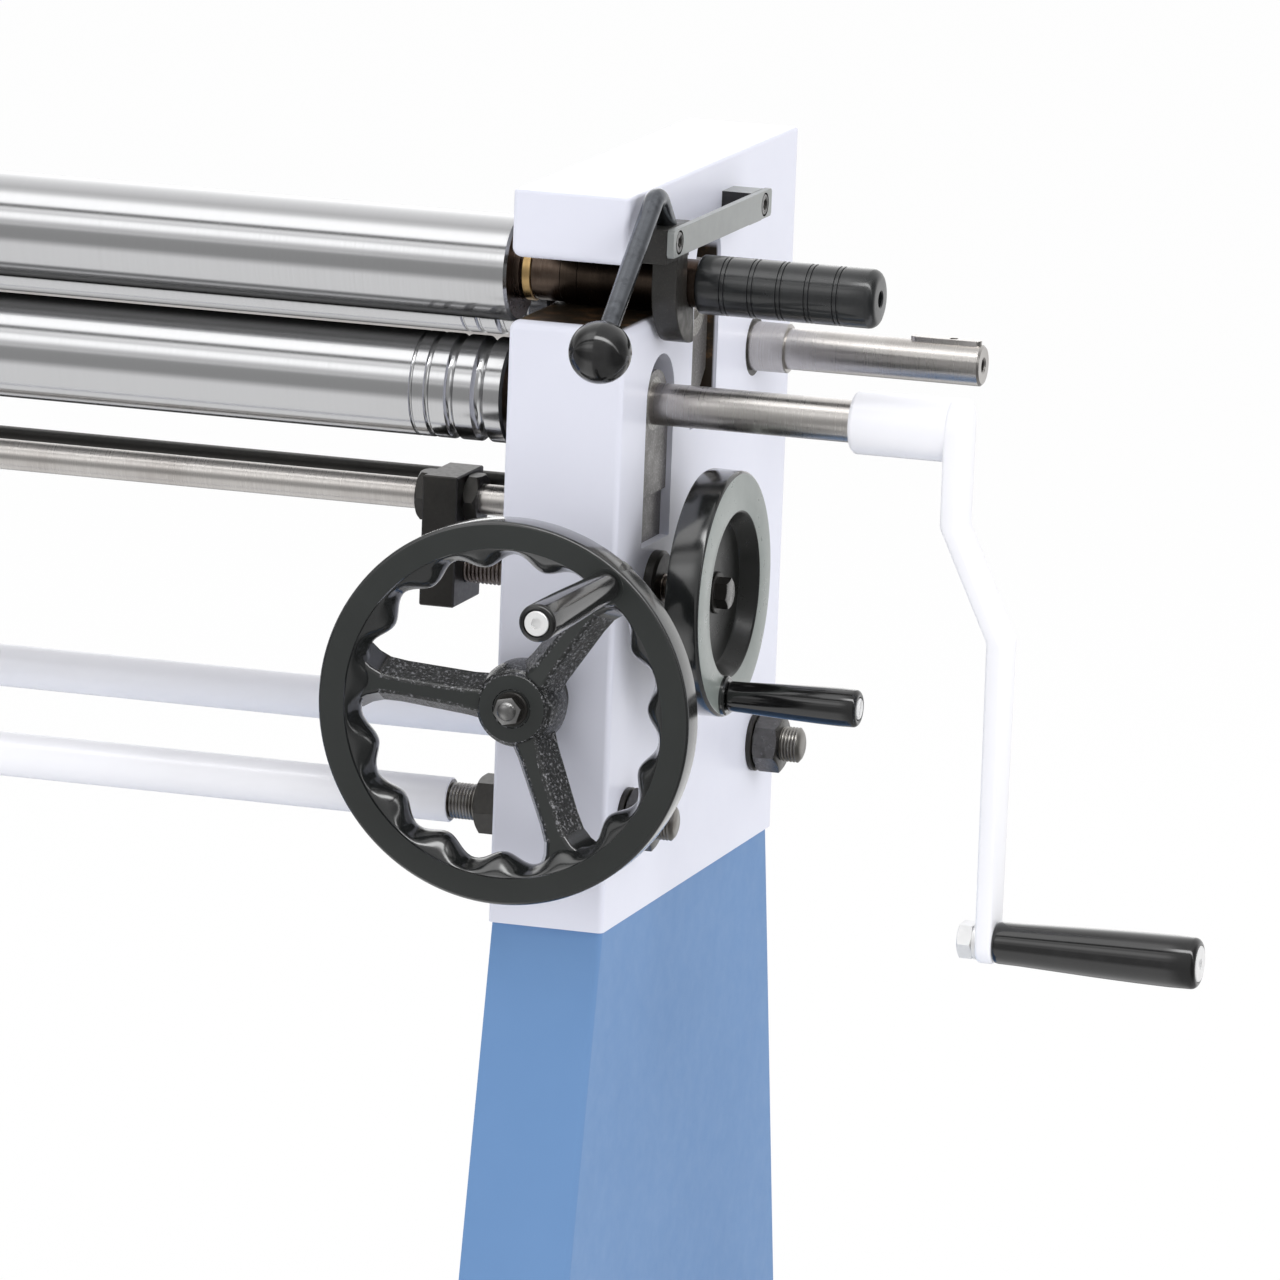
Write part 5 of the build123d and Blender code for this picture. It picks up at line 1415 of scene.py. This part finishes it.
@dataclass
class TieBars:
    """White stays with threaded shoulders, nuts and washers."""

    places: tuple[tuple[str, float, float], ...] = (("front", 45.0, 75.0), ("rear", 352.0, 74.0))
    thread_from: float = 0.4908
    inside: float = 0.5345

    def build(self, rack: Rack) -> None:
        """Turns the bars and forges their nuts.

        Args:
            rack: Mounts the pieces.
        """
        nuts, washers = [], []
        for name, back, rise in self.places:
            centre = axle(back, rise)
            half = [(0.0, 16.0), (489.6, 16.0), (490.6, 15.0), (491, 13.4)]
            half += Threads.ridges(491, 656, 13.0, 2.5)
            half += [(657.0, 10.5), (658.0, 8.0), (658.0, 0.0)]
            profile = [(-a, r) for a, r in reversed(half[1:])] + half
            bar = Bench.turned(f"tie_bar_{name}_turned", profile, centre, OUT, 48, 60)
            rack.place(bar, "frame", "paint_white", None, f"tie_bar_{name}")
            rack.two_tone(bar, Coat.WHITE_PAINT, Coat.THREAD_STEEL,
                          lambda c, n: abs(c.x) > self.thread_from)
            for start in (-4.0, 85.0):
                seat = at(start, back, rise)
                washers.append(Bench.turned("washer", [(0, 13.1), (0, 21.4), (0.6, 22), (3.4, 22),
                                                       (4, 21.4), (4, 13.1), (0, 13.1)], seat,
                                            OUT, 48, 30))
            nuts.append(Bench.nut("nut", at(-4, back, rise), 38.0, -19.0, OUT, 8))
            nuts.append(Bench.nut("nut", at(89, back, rise), 38.0, 19.0, OUT, 22))
        nuts = Bench.both_sides("tie_bar_nut_set", nuts)
        rack.place(nuts, "frame", "steel_turned", None, "tie_bar_nuts")
        rack.two_tone(nuts, Coat.NUT_STEEL, Coat.DARK_STEEL,
                      lambda c, n: abs(c.x) < self.inside)
        washers = Bench.both_sides("tie_bar_washer_set", washers)
        rack.place(washers, "frame", "steel_turned", Coat.DARK_STEEL, "tie_bar_washers")


@dataclass
class TopRollEnd:
    """Greasy sleeve in the slot and the ribbed grip on the top roll's right end."""

    start: float = 112.5
    length: float = 131.0
    radius: float = 21.0
    rings: int = 5
    tail: float = 7.0
    pair_gap: float = 1.6
    groove_half: float = 0.9
    groove_floor: float = 0.55
    groove_depth: float = 0.9

    def build(self, rack: Rack) -> None:
        """Turns the grip and the sleeve.

        Args:
            rack: Mounts the pieces.
        """
        centre = at(0, PINCH_BACK, TOP_RISE)
        radius, start, end = self.radius, self.start + 0.02, self.start + self.length
        profile = [(start, 12.1), (start, radius - 1.4), (start + 1.2, radius - 0.2),
                   (start + 3, radius)]
        pitch = (self.length - self.tail) / (self.rings + 1)
        for ring in range(1, self.rings + 1):
            for aside in (-self.pair_gap, self.pair_gap):
                here = start + ring * pitch + aside
                floor = radius - self.groove_depth
                profile += [(here - self.groove_half, radius), (here - self.groove_floor, floor),
                            (here + self.groove_floor, floor), (here + self.groove_half, radius)]
        profile += arc(end - self.tail, radius - self.tail, self.tail, 90, -90, 6)
        profile += [(end, 6.5), (end - 0.8, 5.6), (end - 10, 5.2), (end - 10, 0)]
        grip = Bench.turned("top_grip_ribbed", profile, centre, OUT, 80, 35)
        rack.place(grip, "top_spin", "plastic_grip", Coat.GRIP_RUBBER, "top_roll_grip")
        sleeve = [(-14.5, 17.1), (-14.5, 21.2), (-14, 21.7), (-8.6, 21.7), (-8, 21.2), (-8, 20.2),
                  (-5, 20.2), (-5, 20.8), (13.2, 20.8), (14, 21.6), (14.8, 21.7), (26, 21.7),
                  (26.4, 21.4), (26.8, 21.7), (82.4, 21.7), (83, 21.1), (83, 17.1), (-14.5, 17.1)]
        tube = Bench.turned("top_sleeve_greasy", sleeve, centre, OUT, 96, 35)
        rack.place(tube, "top_swing", "bronze", None, "top_roll_sleeve")
        ring, neck, rim = (at(reach, 0, 0).x for reach in (-7.9, 13.3, 80))
        # the neck band between ring and sleeve is grease with painted shade
        rack.tones(tube, (Coat.SLEEVE_BLACK, Coat.BRONZE, Coat.NECK_GREASE_AND_SHADE),
                   lambda c, n: 1 if c.x < ring or c.x > rim else 2 if c.x < neck else 0)


@dataclass
class Latch:
    """Hook, bent lever, ball knob, link bar and its socket screws."""

    x0: float = 88.3
    thick: float = 18.4
    inner: float = 17.3
    outer: float = 42.0
    rod: float = 7.0
    bend: float = 12.0
    ball: float = 22.0
    lip: float = 94.0
    corners: Stops = ((56.0, 493.0), (24.0, 526.0), (-93.0, 430.0))
    neck_gap: float = 17.0
    bar_x: float = 107.0
    bar_rise: float = 490.0
    bar_thick: float = 5.0
    pins: tuple[float, ...] = (35.0, 237.0)
    bore: float = 0.0087
    recess: float = 0.0045

    def off_pin(self, place: Vector) -> float:
        """Distance of a place from the nearer pivot's axis, in metres."""
        return min(math.hypot(place.y - pin.y, place.z - pin.z)
                   for pin in (at(0, back, self.bar_rise) for back in self.pins))

    def route(self) -> tuple[Vector, Vector, Vector]:
        """Root, apex and knob centre of the lever."""
        x = self.x0 + self.thick / 2
        root, apex, knob = (at(x, back, rise) for back, rise in self.corners)
        return root, apex, knob

    def hook(self) -> bpy.types.Object:
        """Makes the hook's plate from its side outline."""
        back, rise, inner, outer = PINCH_BACK, TOP_RISE, self.inner, self.outer
        points = [(back - inner, 475), (75, 475), (75, 500), (22, 500), (22, 475),
                  (back - outer, 475)]
        points += arc(back, rise, outer, 180, self.lip, 20)
        points += arc(back, rise, inner, 180 + self.lip, -self.lip, 20)
        outline = [at(self.x0, y, z) for y, z in points]
        return Bench.slab("latch_hook_plate", outline, Vector((self.thick * MM, 0, 0)), 0.8, 2)

    def lever(self) -> bpy.types.Object:
        """Sweeps the bent lever from a circle, with a spin at the bend."""
        root, apex, knob = self.route()
        first = (apex - root).normalized()
        second = (knob - apex).normalized()
        bend = self.bend * MM
        turn = math.acos(max(-1.0, min(1.0, first.dot(second))))
        cut = bend * math.tan(turn / 2)
        start = apex - first * cut
        side = (second - first * first.dot(second)).normalized()
        pivot = start + side * bend
        bpy.ops.object.select_all(action="DESELECT")
        facing = first.to_track_quat("Z", "Y").to_euler()
        bpy.ops.mesh.primitive_circle_add(vertices=40, radius=self.rod * MM, location=root,
                                          rotation=facing, fill_type="NGON")
        obj = bpy.context.object
        obj.name = "latch_lever_bent"
        Bench.settle(obj)
        bpy.ops.object.mode_set(mode="EDIT")
        bpy.ops.mesh.select_all(action="SELECT")
        bpy.ops.mesh.extrude_region_move(TRANSFORM_OT_translate={"value": start - root})
        bpy.ops.mesh.spin(steps=18, angle=turn, center=pivot, axis=side.cross(first))
        end = knob - second * self.neck_gap * MM
        from_here = apex + second * cut
        bpy.ops.mesh.extrude_region_move(TRANSFORM_OT_translate={"value": end - from_here})
        return Bench.close(obj, 40)

    def knob(self) -> bpy.types.Object:
        """Turns the ball knob with its flattened neck."""
        _, apex, knob = self.route()
        ahead = (apex - knob).normalized()
        radius = self.ball
        points = arc(0, 0, radius, 180, -math.degrees(math.acos(-0.93)), 28)
        points += [(radius * 0.955, 7.8), (radius * 0.955, 7.1), (radius * 0.7, 7.1),
                   (radius * 0.7, 0)]
        return Bench.turned("latch_knob_ball", points, knob, ahead, 56, 40, OUT)

    def bar(self) -> bpy.types.Object:
        """The link bar with its bored ends."""
        sides = ((21, 482), (23, 480), (251, 480), (253, 482), (253, 498), (251, 500), (23, 500),
                 (21, 498))
        obj = Bench.slab("latch_bar", [at(self.bar_x, y, z) for y, z in sides],
                         OUT * self.bar_thick * MM, 0.35, 2)
        for back in self.pins:
            tool = Bench.turned("bore", [(-2, 0), (-2, 6.05), (2.8, 6.05), (2.8, 8.6), (8, 8.6),
                                         (8, 0)], at(self.bar_x, back, self.bar_rise), OUT, 48)
            Bench.carve(obj, tool)
        Bench.smooth(30)
        return obj

    def screws(self) -> bpy.types.Object:
        """Socket-headed pivot screws at both ends of the link."""
        profile = [(-13, 0), (-13, 6.0), (2.9, 6.0), (2.9, 7.5), (4.5, 7.5), (5.0, 7.0), (5.0, 0)]
        made = []
        for back in self.pins:
            seat, inside = (at(self.bar_x + deep, back, self.bar_rise) for deep in (0, 1.5))
            head = Bench.turned("screw", profile, seat, OUT, 48, 30)
            tool = Bench.slab("socket", Bench.hexagon(inside, 7.6, OUT, 20), OUT * 5 * MM)
            Bench.carve(head, tool)
            made.append(head)
        return Bench.join("latch_screws", made)

    def build(self, rack: Rack) -> None:
        """Makes and mounts the latch.

        Args:
            rack: Mounts the pieces.
        """
        hook = self.hook()
        lever = self.lever()
        rack.place(hook, "latch_hook", "steel_dark", Coat.HOOK_BLACK, "latch_hook")
        rack.place(lever, "latch_hook", "steel_dark", Coat.LEVER_STEEL, "latch_hook")
        rack.place(self.knob(), "latch_hook", "plastic_black", Coat.GLOSS_BLACK, "latch_knob")
        bar = self.bar()
        rack.place(bar, "latch_link", "paint_grey", None, "latch_link")
        rack.two_tone(bar, Coat.SATIN_GREY, Coat.DARK_STEEL,
                      lambda c, n: self.off_pin(c) < self.bore)
        screws = self.screws()
        rack.place(screws, "latch_link", "steel_turned", None, "latch_pins")
        rack.two_tone(screws, Coat.STUD_STEEL, Coat.DARK_STEEL,
                      lambda c, n: self.off_pin(c) < self.recess)


@dataclass
class Crank:
    """White crank with rounded edges, its handle and through bolt."""

    low: float = LOWER_RISE
    tip: float = 3.0
    blank: float = 60.0
    start: float = 299.0
    thick: float = 12.0
    step_out: float = 37.0
    root_half: float = 23.0
    tip_half: float = 15.5
    handle: Handle = field(default_factory=lambda: Handle(148.0, 29.0, 37.0, 13.0))

    def build(self, rack: Rack) -> None:
        """Makes and mounts the crank.

        Args:
            rack: Mounts the pieces.
        """
        low, tip, thick = self.low, self.tip, self.thick
        x0, x1 = self.start, self.start + self.step_out
        top, foot = low + self.root_half, tip - self.tip_half
        side = [(x0, top), (x0, 299), (x1, 220), (x1, foot), (x1 + thick, foot),
                (x1 + thick, 218), (x0 + thick, 297), (x0 + thick, top)]
        arm = Bench.slab("crank_arm_flat",
                         [at(x, PINCH_BACK - self.blank / 2, z) for x, z in side],
                         Vector((0, self.blank * MM, 0)))
        front = arc(PINCH_BACK, low, self.root_half, 0, 180, 16)
        front += arc(PINCH_BACK, tip, self.tip_half, 180, 180, 16)
        mould = Bench.slab("crank_mould", [at(x0 - 10, y, z) for y, z in front],
                           Vector((80 * MM, 0, 0)))
        Bench.carve(arm, mould, "INTERSECT")
        Bench.bevel(arm, 2.2, 3, 25)
        hub = Bench.turned("crank_hub", [(229, 15.1), (229, 20.5), (231, 22.3), (232, 22.5),
                                         (302, 22.5), (302, 15.1), (229, 15.1)],
                           at(0, PINCH_BACK, low), OUT, 80, 35)
        crank = Bench.join("crank_cast", [arm, hub])
        rack.place(crank, "lower_spin", "paint_white", Coat.WHITE_PAINT, "crank_arm")
        root = at(x1 + thick + 0.4, PINCH_BACK, tip)
        self.handle.build(rack, "crank_grip_turned", root, OUT, "crank_grip", "crank_handle")
        self.handle.screw(rack, "crank_grip_screw", root, OUT, "lower_spin", 26,
                          "crank_handle_pin")
        nut = Bench.nut("crank_nut", at(x1 - 3, PINCH_BACK, tip), 24.0, -11.0, OUT, 4)
        washer = Bench.turned("crank_washer", [(-3, 5), (-3, 13), (-2.6, 13.5), (0, 13.5), (0, 5),
                                               (-3, 5)], at(x1, PINCH_BACK, tip), OUT, 40, 30)
        nut = Bench.join("crank_nut", [nut, washer])
        rack.place(nut, "lower_spin", "steel_turned", Coat.CAP_STEEL)


@dataclass
class DriveShaft:
    """Keyed end of the drive shaft, with its centre hole and screwed key."""

    def build(self, rack: Rack) -> None:
        """Turns the shaft and makes the key.

        Args:
            rack: Mounts the pieces.
        """
        centre = axle(314.02, 374)
        profile = [(-662, 0), (-662, 14), (-661, 15), (-622, 15), (-622, 18), (646.2, 18),
                   (646.9, 17.3), (646.9, 15.0), (791.4, 15), (793, 13.4), (793, 6.2),
                   (791.8, 5), (769, 5), (769, 0)]
        obj = Bench.turned("drive_shaft_turned", profile, centre, OUT, 96, 25)
        rack.place(obj, "drive", "steel_turned", Coat.TURNED_STEEL, "drive_shaft")
        ends = arc(743, 0, 5, 90, 180, 8) + arc(786, 0, 5, -90, 180, 8)
        key = Bench.slab("drive_key_flat", [centre + Vector((x, y, 12)) * MM for x, y in ends],
                         UP * 6 * MM, 0.4, 2)
        hole = Bench.turned("hole", [(0, 0), (0, 3.1), (8, 3.1), (8, 0)],
                            centre + Vector((770, 0, 14.5)) * MM, UP, 28, aside=OUT)
        Bench.carve(key, hole)
        Bench.smooth(30)
        rack.place(key, "drive", "steel_turned", Coat.TURNED_STEEL, "drive_key")


@dataclass
class Studio:
    """Pale floor, soft light and the camera at the photograph's angle."""

    lens: float = 284.37
    sensor: float = 36.0
    clips: tuple[float, float] = (0.1, 200.0)
    place: Triple = (2.7165, -6.8250, 2.2195)
    yaw: float = math.radians(17.41)
    pitch: float = math.radians(11.06)
    roll: float = math.radians(2.17)
    floor_size: float = 60.0
    floor_drop: float = 0.0005
    floor_tone: Colour = (0.9, 0.9, 0.9)
    white_share: float = 0.94
    tent_strength: float = 1.0
    tent: Stops = ((0.0, 0.6), (0.5, 0.72), (0.7, 0.8), (1.0, 1.0))
    panels: Stops = (
        (-180, 0.1), (-154, 0.12), (-142, 0.5), (-130, 0.85), (-116, 1.08), (-34, 1.12),
        (-20, 0.44), (6, 0.46), (10, 1.0), (14, 0.78), (19, 1.05), (25, 1.95), (34, 1.95),
        (37, 1.0), (41, 1.3), (45, 1.5), (49, 0.12), (53, 0.12), (57, 1.95), (78, 1.95),
        (88, 1.1), (98, 0.85), (108, 1.0), (131, 1.3), (156, 1.8), (180, 1.9))
    right_panels: Stops = (
        (-180, 0.9), (-160, 0.9), (-145, 0.35), (-60, 0.45), (-16, 0.45), (30, 0.6), (55, 0.8),
        (57, 8.0), (67, 8.0), (69, 0.8), (110, 0.8), (150, 0.85), (180, 0.9))
    right_edge: tuple[float, float] = (-0.24, -0.16)
    side_edge: tuple[float, float] = (0.55, 0.85)
    side_level: float = 0.35
    lamps: tuple[tuple[str, Triple, Triple, float, float], ...] = (
        ("key", (-1.5, -3.5, 4.2), (0.3, 0, 0.9), 2.6, 12),
        ("left", (-3.4, -3.0, 1.4), (-0.1, 0, 0.7), 2.4, 50),
        ("side", (4.2, -1.6, 2.6), (0.4, 0, 0.9), 2.2, 55),
        ("rear", (0.5, 3.2, 3.6), (0.3, 0, 0.9), 2.4, 30))

    def build(self) -> None:
        """Makes the floor, the world, the lamps and the camera."""
        self.make_floor()
        self.make_world()
        self.make_lamps()
        self.make_camera()
        bpy.context.scene.view_settings.view_transform = "Standard"

    def make_floor(self) -> None:
        """Lays a pale floor that shows white and keeps the shadow."""
        bpy.ops.mesh.primitive_plane_add(size=self.floor_size, location=(0, 0, -self.floor_drop))
        floor = bpy.context.object
        floor.name = "floor"
        material = bpy.data.materials.new("floor")
        material.use_nodes = True
        wiring = Wiring(material.node_tree)
        path = wiring.node("ShaderNodeLightPath").outputs
        seen = wiring.math("MAXIMUM", path["Is Camera Ray"], path["Is Transmission Ray"])
        seen = wiring.math("MAXIMUM", seen, path["Is Glossy Ray"])
        share = wiring.math("MULTIPLY", seen, self.white_share)
        pale = wiring.node("ShaderNodeBsdfDiffuse", {"Color": self.floor_tone}).outputs[0]
        glow = wiring.node("ShaderNodeEmission").outputs[0]
        mix = wiring.node("ShaderNodeMixShader", {0: share, 1: pale, 2: glow}).outputs[0]
        wiring.node("ShaderNodeOutputMaterial", {"Surface": mix})
        floor.data.materials.append(material)
        floor.visible_glossy = False

    @staticmethod
    def ramp(wiring: Wiring, stops: Stops, factor: Socket) -> Socket:
        """Makes a ramp of grey levels.

        Args:
            wiring: Nodes of the world.
            stops: (place, level) pairs.
            factor: Socket that says where on the ramp a ray is.

        Returns:
            The level's socket.
        """
        node = wiring.node("ShaderNodeValToRGB", {0: factor})
        band = node.color_ramp
        band.elements[0].position, band.elements[1].position = stops[0][0], stops[-1][0]
        for place, _ in stops[1:-1]:
            band.elements.new(place)
        for element, (_, level) in zip(band.elements, stops):
            element.color = (level, level, level, 1)
        return node.outputs[0]

    def gloss(self, wiring: Wiring, ray: bpy.types.NodeOutputs, peak: float) -> Socket:
        """Levels of the tent's panels that polished metal shows.

        Args:
            wiring: Nodes of the world.
            ray: Outputs X, Y and Z of the ray's direction.
            peak: Brightest level, by which the panels are divided.

        Returns:
            The colour socket.
        """
        around = wiring.math("ARCTAN2", ray["Z"], wiring.math("MULTIPLY", ray["Y"], -1.0))
        turn = wiring.spread(around, -math.pi, math.pi)
        rooms = [self.ramp(wiring, tuple(((angle + 180) / 360, level / peak)
                                         for angle, level in panels), turn)
                 for panels in (self.panels, self.right_panels)]
        both = wiring.mix(wiring.spread(ray["X"], *self.right_edge), *rooms)
        fade = wiring.spread(wiring.math("ABSOLUTE", ray["X"]), *self.side_edge, 1.0,
                             self.side_level)
        dimmed = wiring.node("ShaderNodeVectorMath")
        dimmed.operation = "SCALE"
        wiring.feed(dimmed, {0: both, "Scale": fade})
        return dimmed.outputs[0]

    def make_world(self) -> None:
        """White to the camera, a soft tent for diffuse light, and the tent's panels for gloss."""
        world = bpy.data.worlds.new("tent")
        bpy.context.scene.world = world
        world.use_nodes = True
        wiring = Wiring(world.node_tree)
        coords = wiring.node("ShaderNodeTexCoord").outputs["Generated"]
        ray = wiring.node("ShaderNodeSeparateXYZ", {0: coords}).outputs
        peak = max(level for _, level in self.panels + self.right_panels)
        soft = self.ramp(wiring, self.tent, wiring.spread(ray["Z"], -1.0, 1.0))
        white = (1.0, 1.0, 1.0)
        path = wiring.node("ShaderNodeLightPath").outputs
        shader = None
        for colour, strength, seen in ((soft, self.tent_strength, None),
                                       (self.gloss(wiring, ray, peak), peak, "Is Glossy Ray"),
                                       (white, 1.0, "Is Camera Ray"),
                                       (white, 1.0, "Is Transmission Ray")):
            light = wiring.node("ShaderNodeBackground", {"Color": colour, "Strength": strength})
            if seen is None:
                shader = light.outputs[0]
            else:
                shader = wiring.node("ShaderNodeMixShader", {0: path[seen], 1: shader,
                                                             2: light.outputs[0]}).outputs[0]
        wiring.node("ShaderNodeOutputWorld", {"Surface": shader})

    def make_lamps(self) -> None:
        """Hangs the softboxes, which light the object but leave no square in its gloss."""
        for name, place, target, size, power in self.lamps:
            bpy.ops.object.light_add(type="AREA", location=place)
            lamp = bpy.context.object
            lamp.name = name
            lamp.data.shape = "SQUARE"
            lamp.data.size = size
            lamp.data.energy = power
            aim = Vector(target) - Vector(place)
            lamp.rotation_euler = aim.to_track_quat("-Z", "Y").to_euler()
            lamp.visible_glossy = False

    def make_camera(self) -> None:
        """Sets the camera where the photograph was taken from."""
        right = Vector((math.cos(self.yaw), math.sin(self.yaw), 0))
        flat = math.cos(self.pitch)
        ahead = Vector((-math.sin(self.yaw) * flat, math.cos(self.yaw) * flat,
                        -math.sin(self.pitch)))
        up = right.cross(ahead)
        side = math.cos(self.roll) * right + math.sin(self.roll) * up
        top = -math.sin(self.roll) * right + math.cos(self.roll) * up
        data = bpy.data.cameras.new("camera")
        data.lens, data.sensor_width = self.lens, self.sensor
        data.clip_start, data.clip_end = self.clips
        camera = bpy.data.objects.new("camera", data)
        bpy.context.scene.collection.objects.link(camera)
        basis = Matrix((side, top, -ahead)).transposed()
        camera.matrix_world = Matrix.Translation(self.place) @ basis.to_4x4()
        bpy.context.scene.camera = camera


def main() -> None:
    """Builds the studio, dresses the nodes and adds the detailed pieces."""
    logging.basicConfig(level=logging.INFO)
    wardrobe = Wardrobe()
    wardrobe.dress_nodes()
    Studio().build()
    rack = Rack(wardrobe)
    for part in (Rolls(), FrontHandwheels(), SideHandwheel(), TieBars(), TopRollEnd(), Latch(),
                 Crank(), DriveShaft()):
        part.build(rack)


if __name__ in ("__main__", "scene"):
    main()
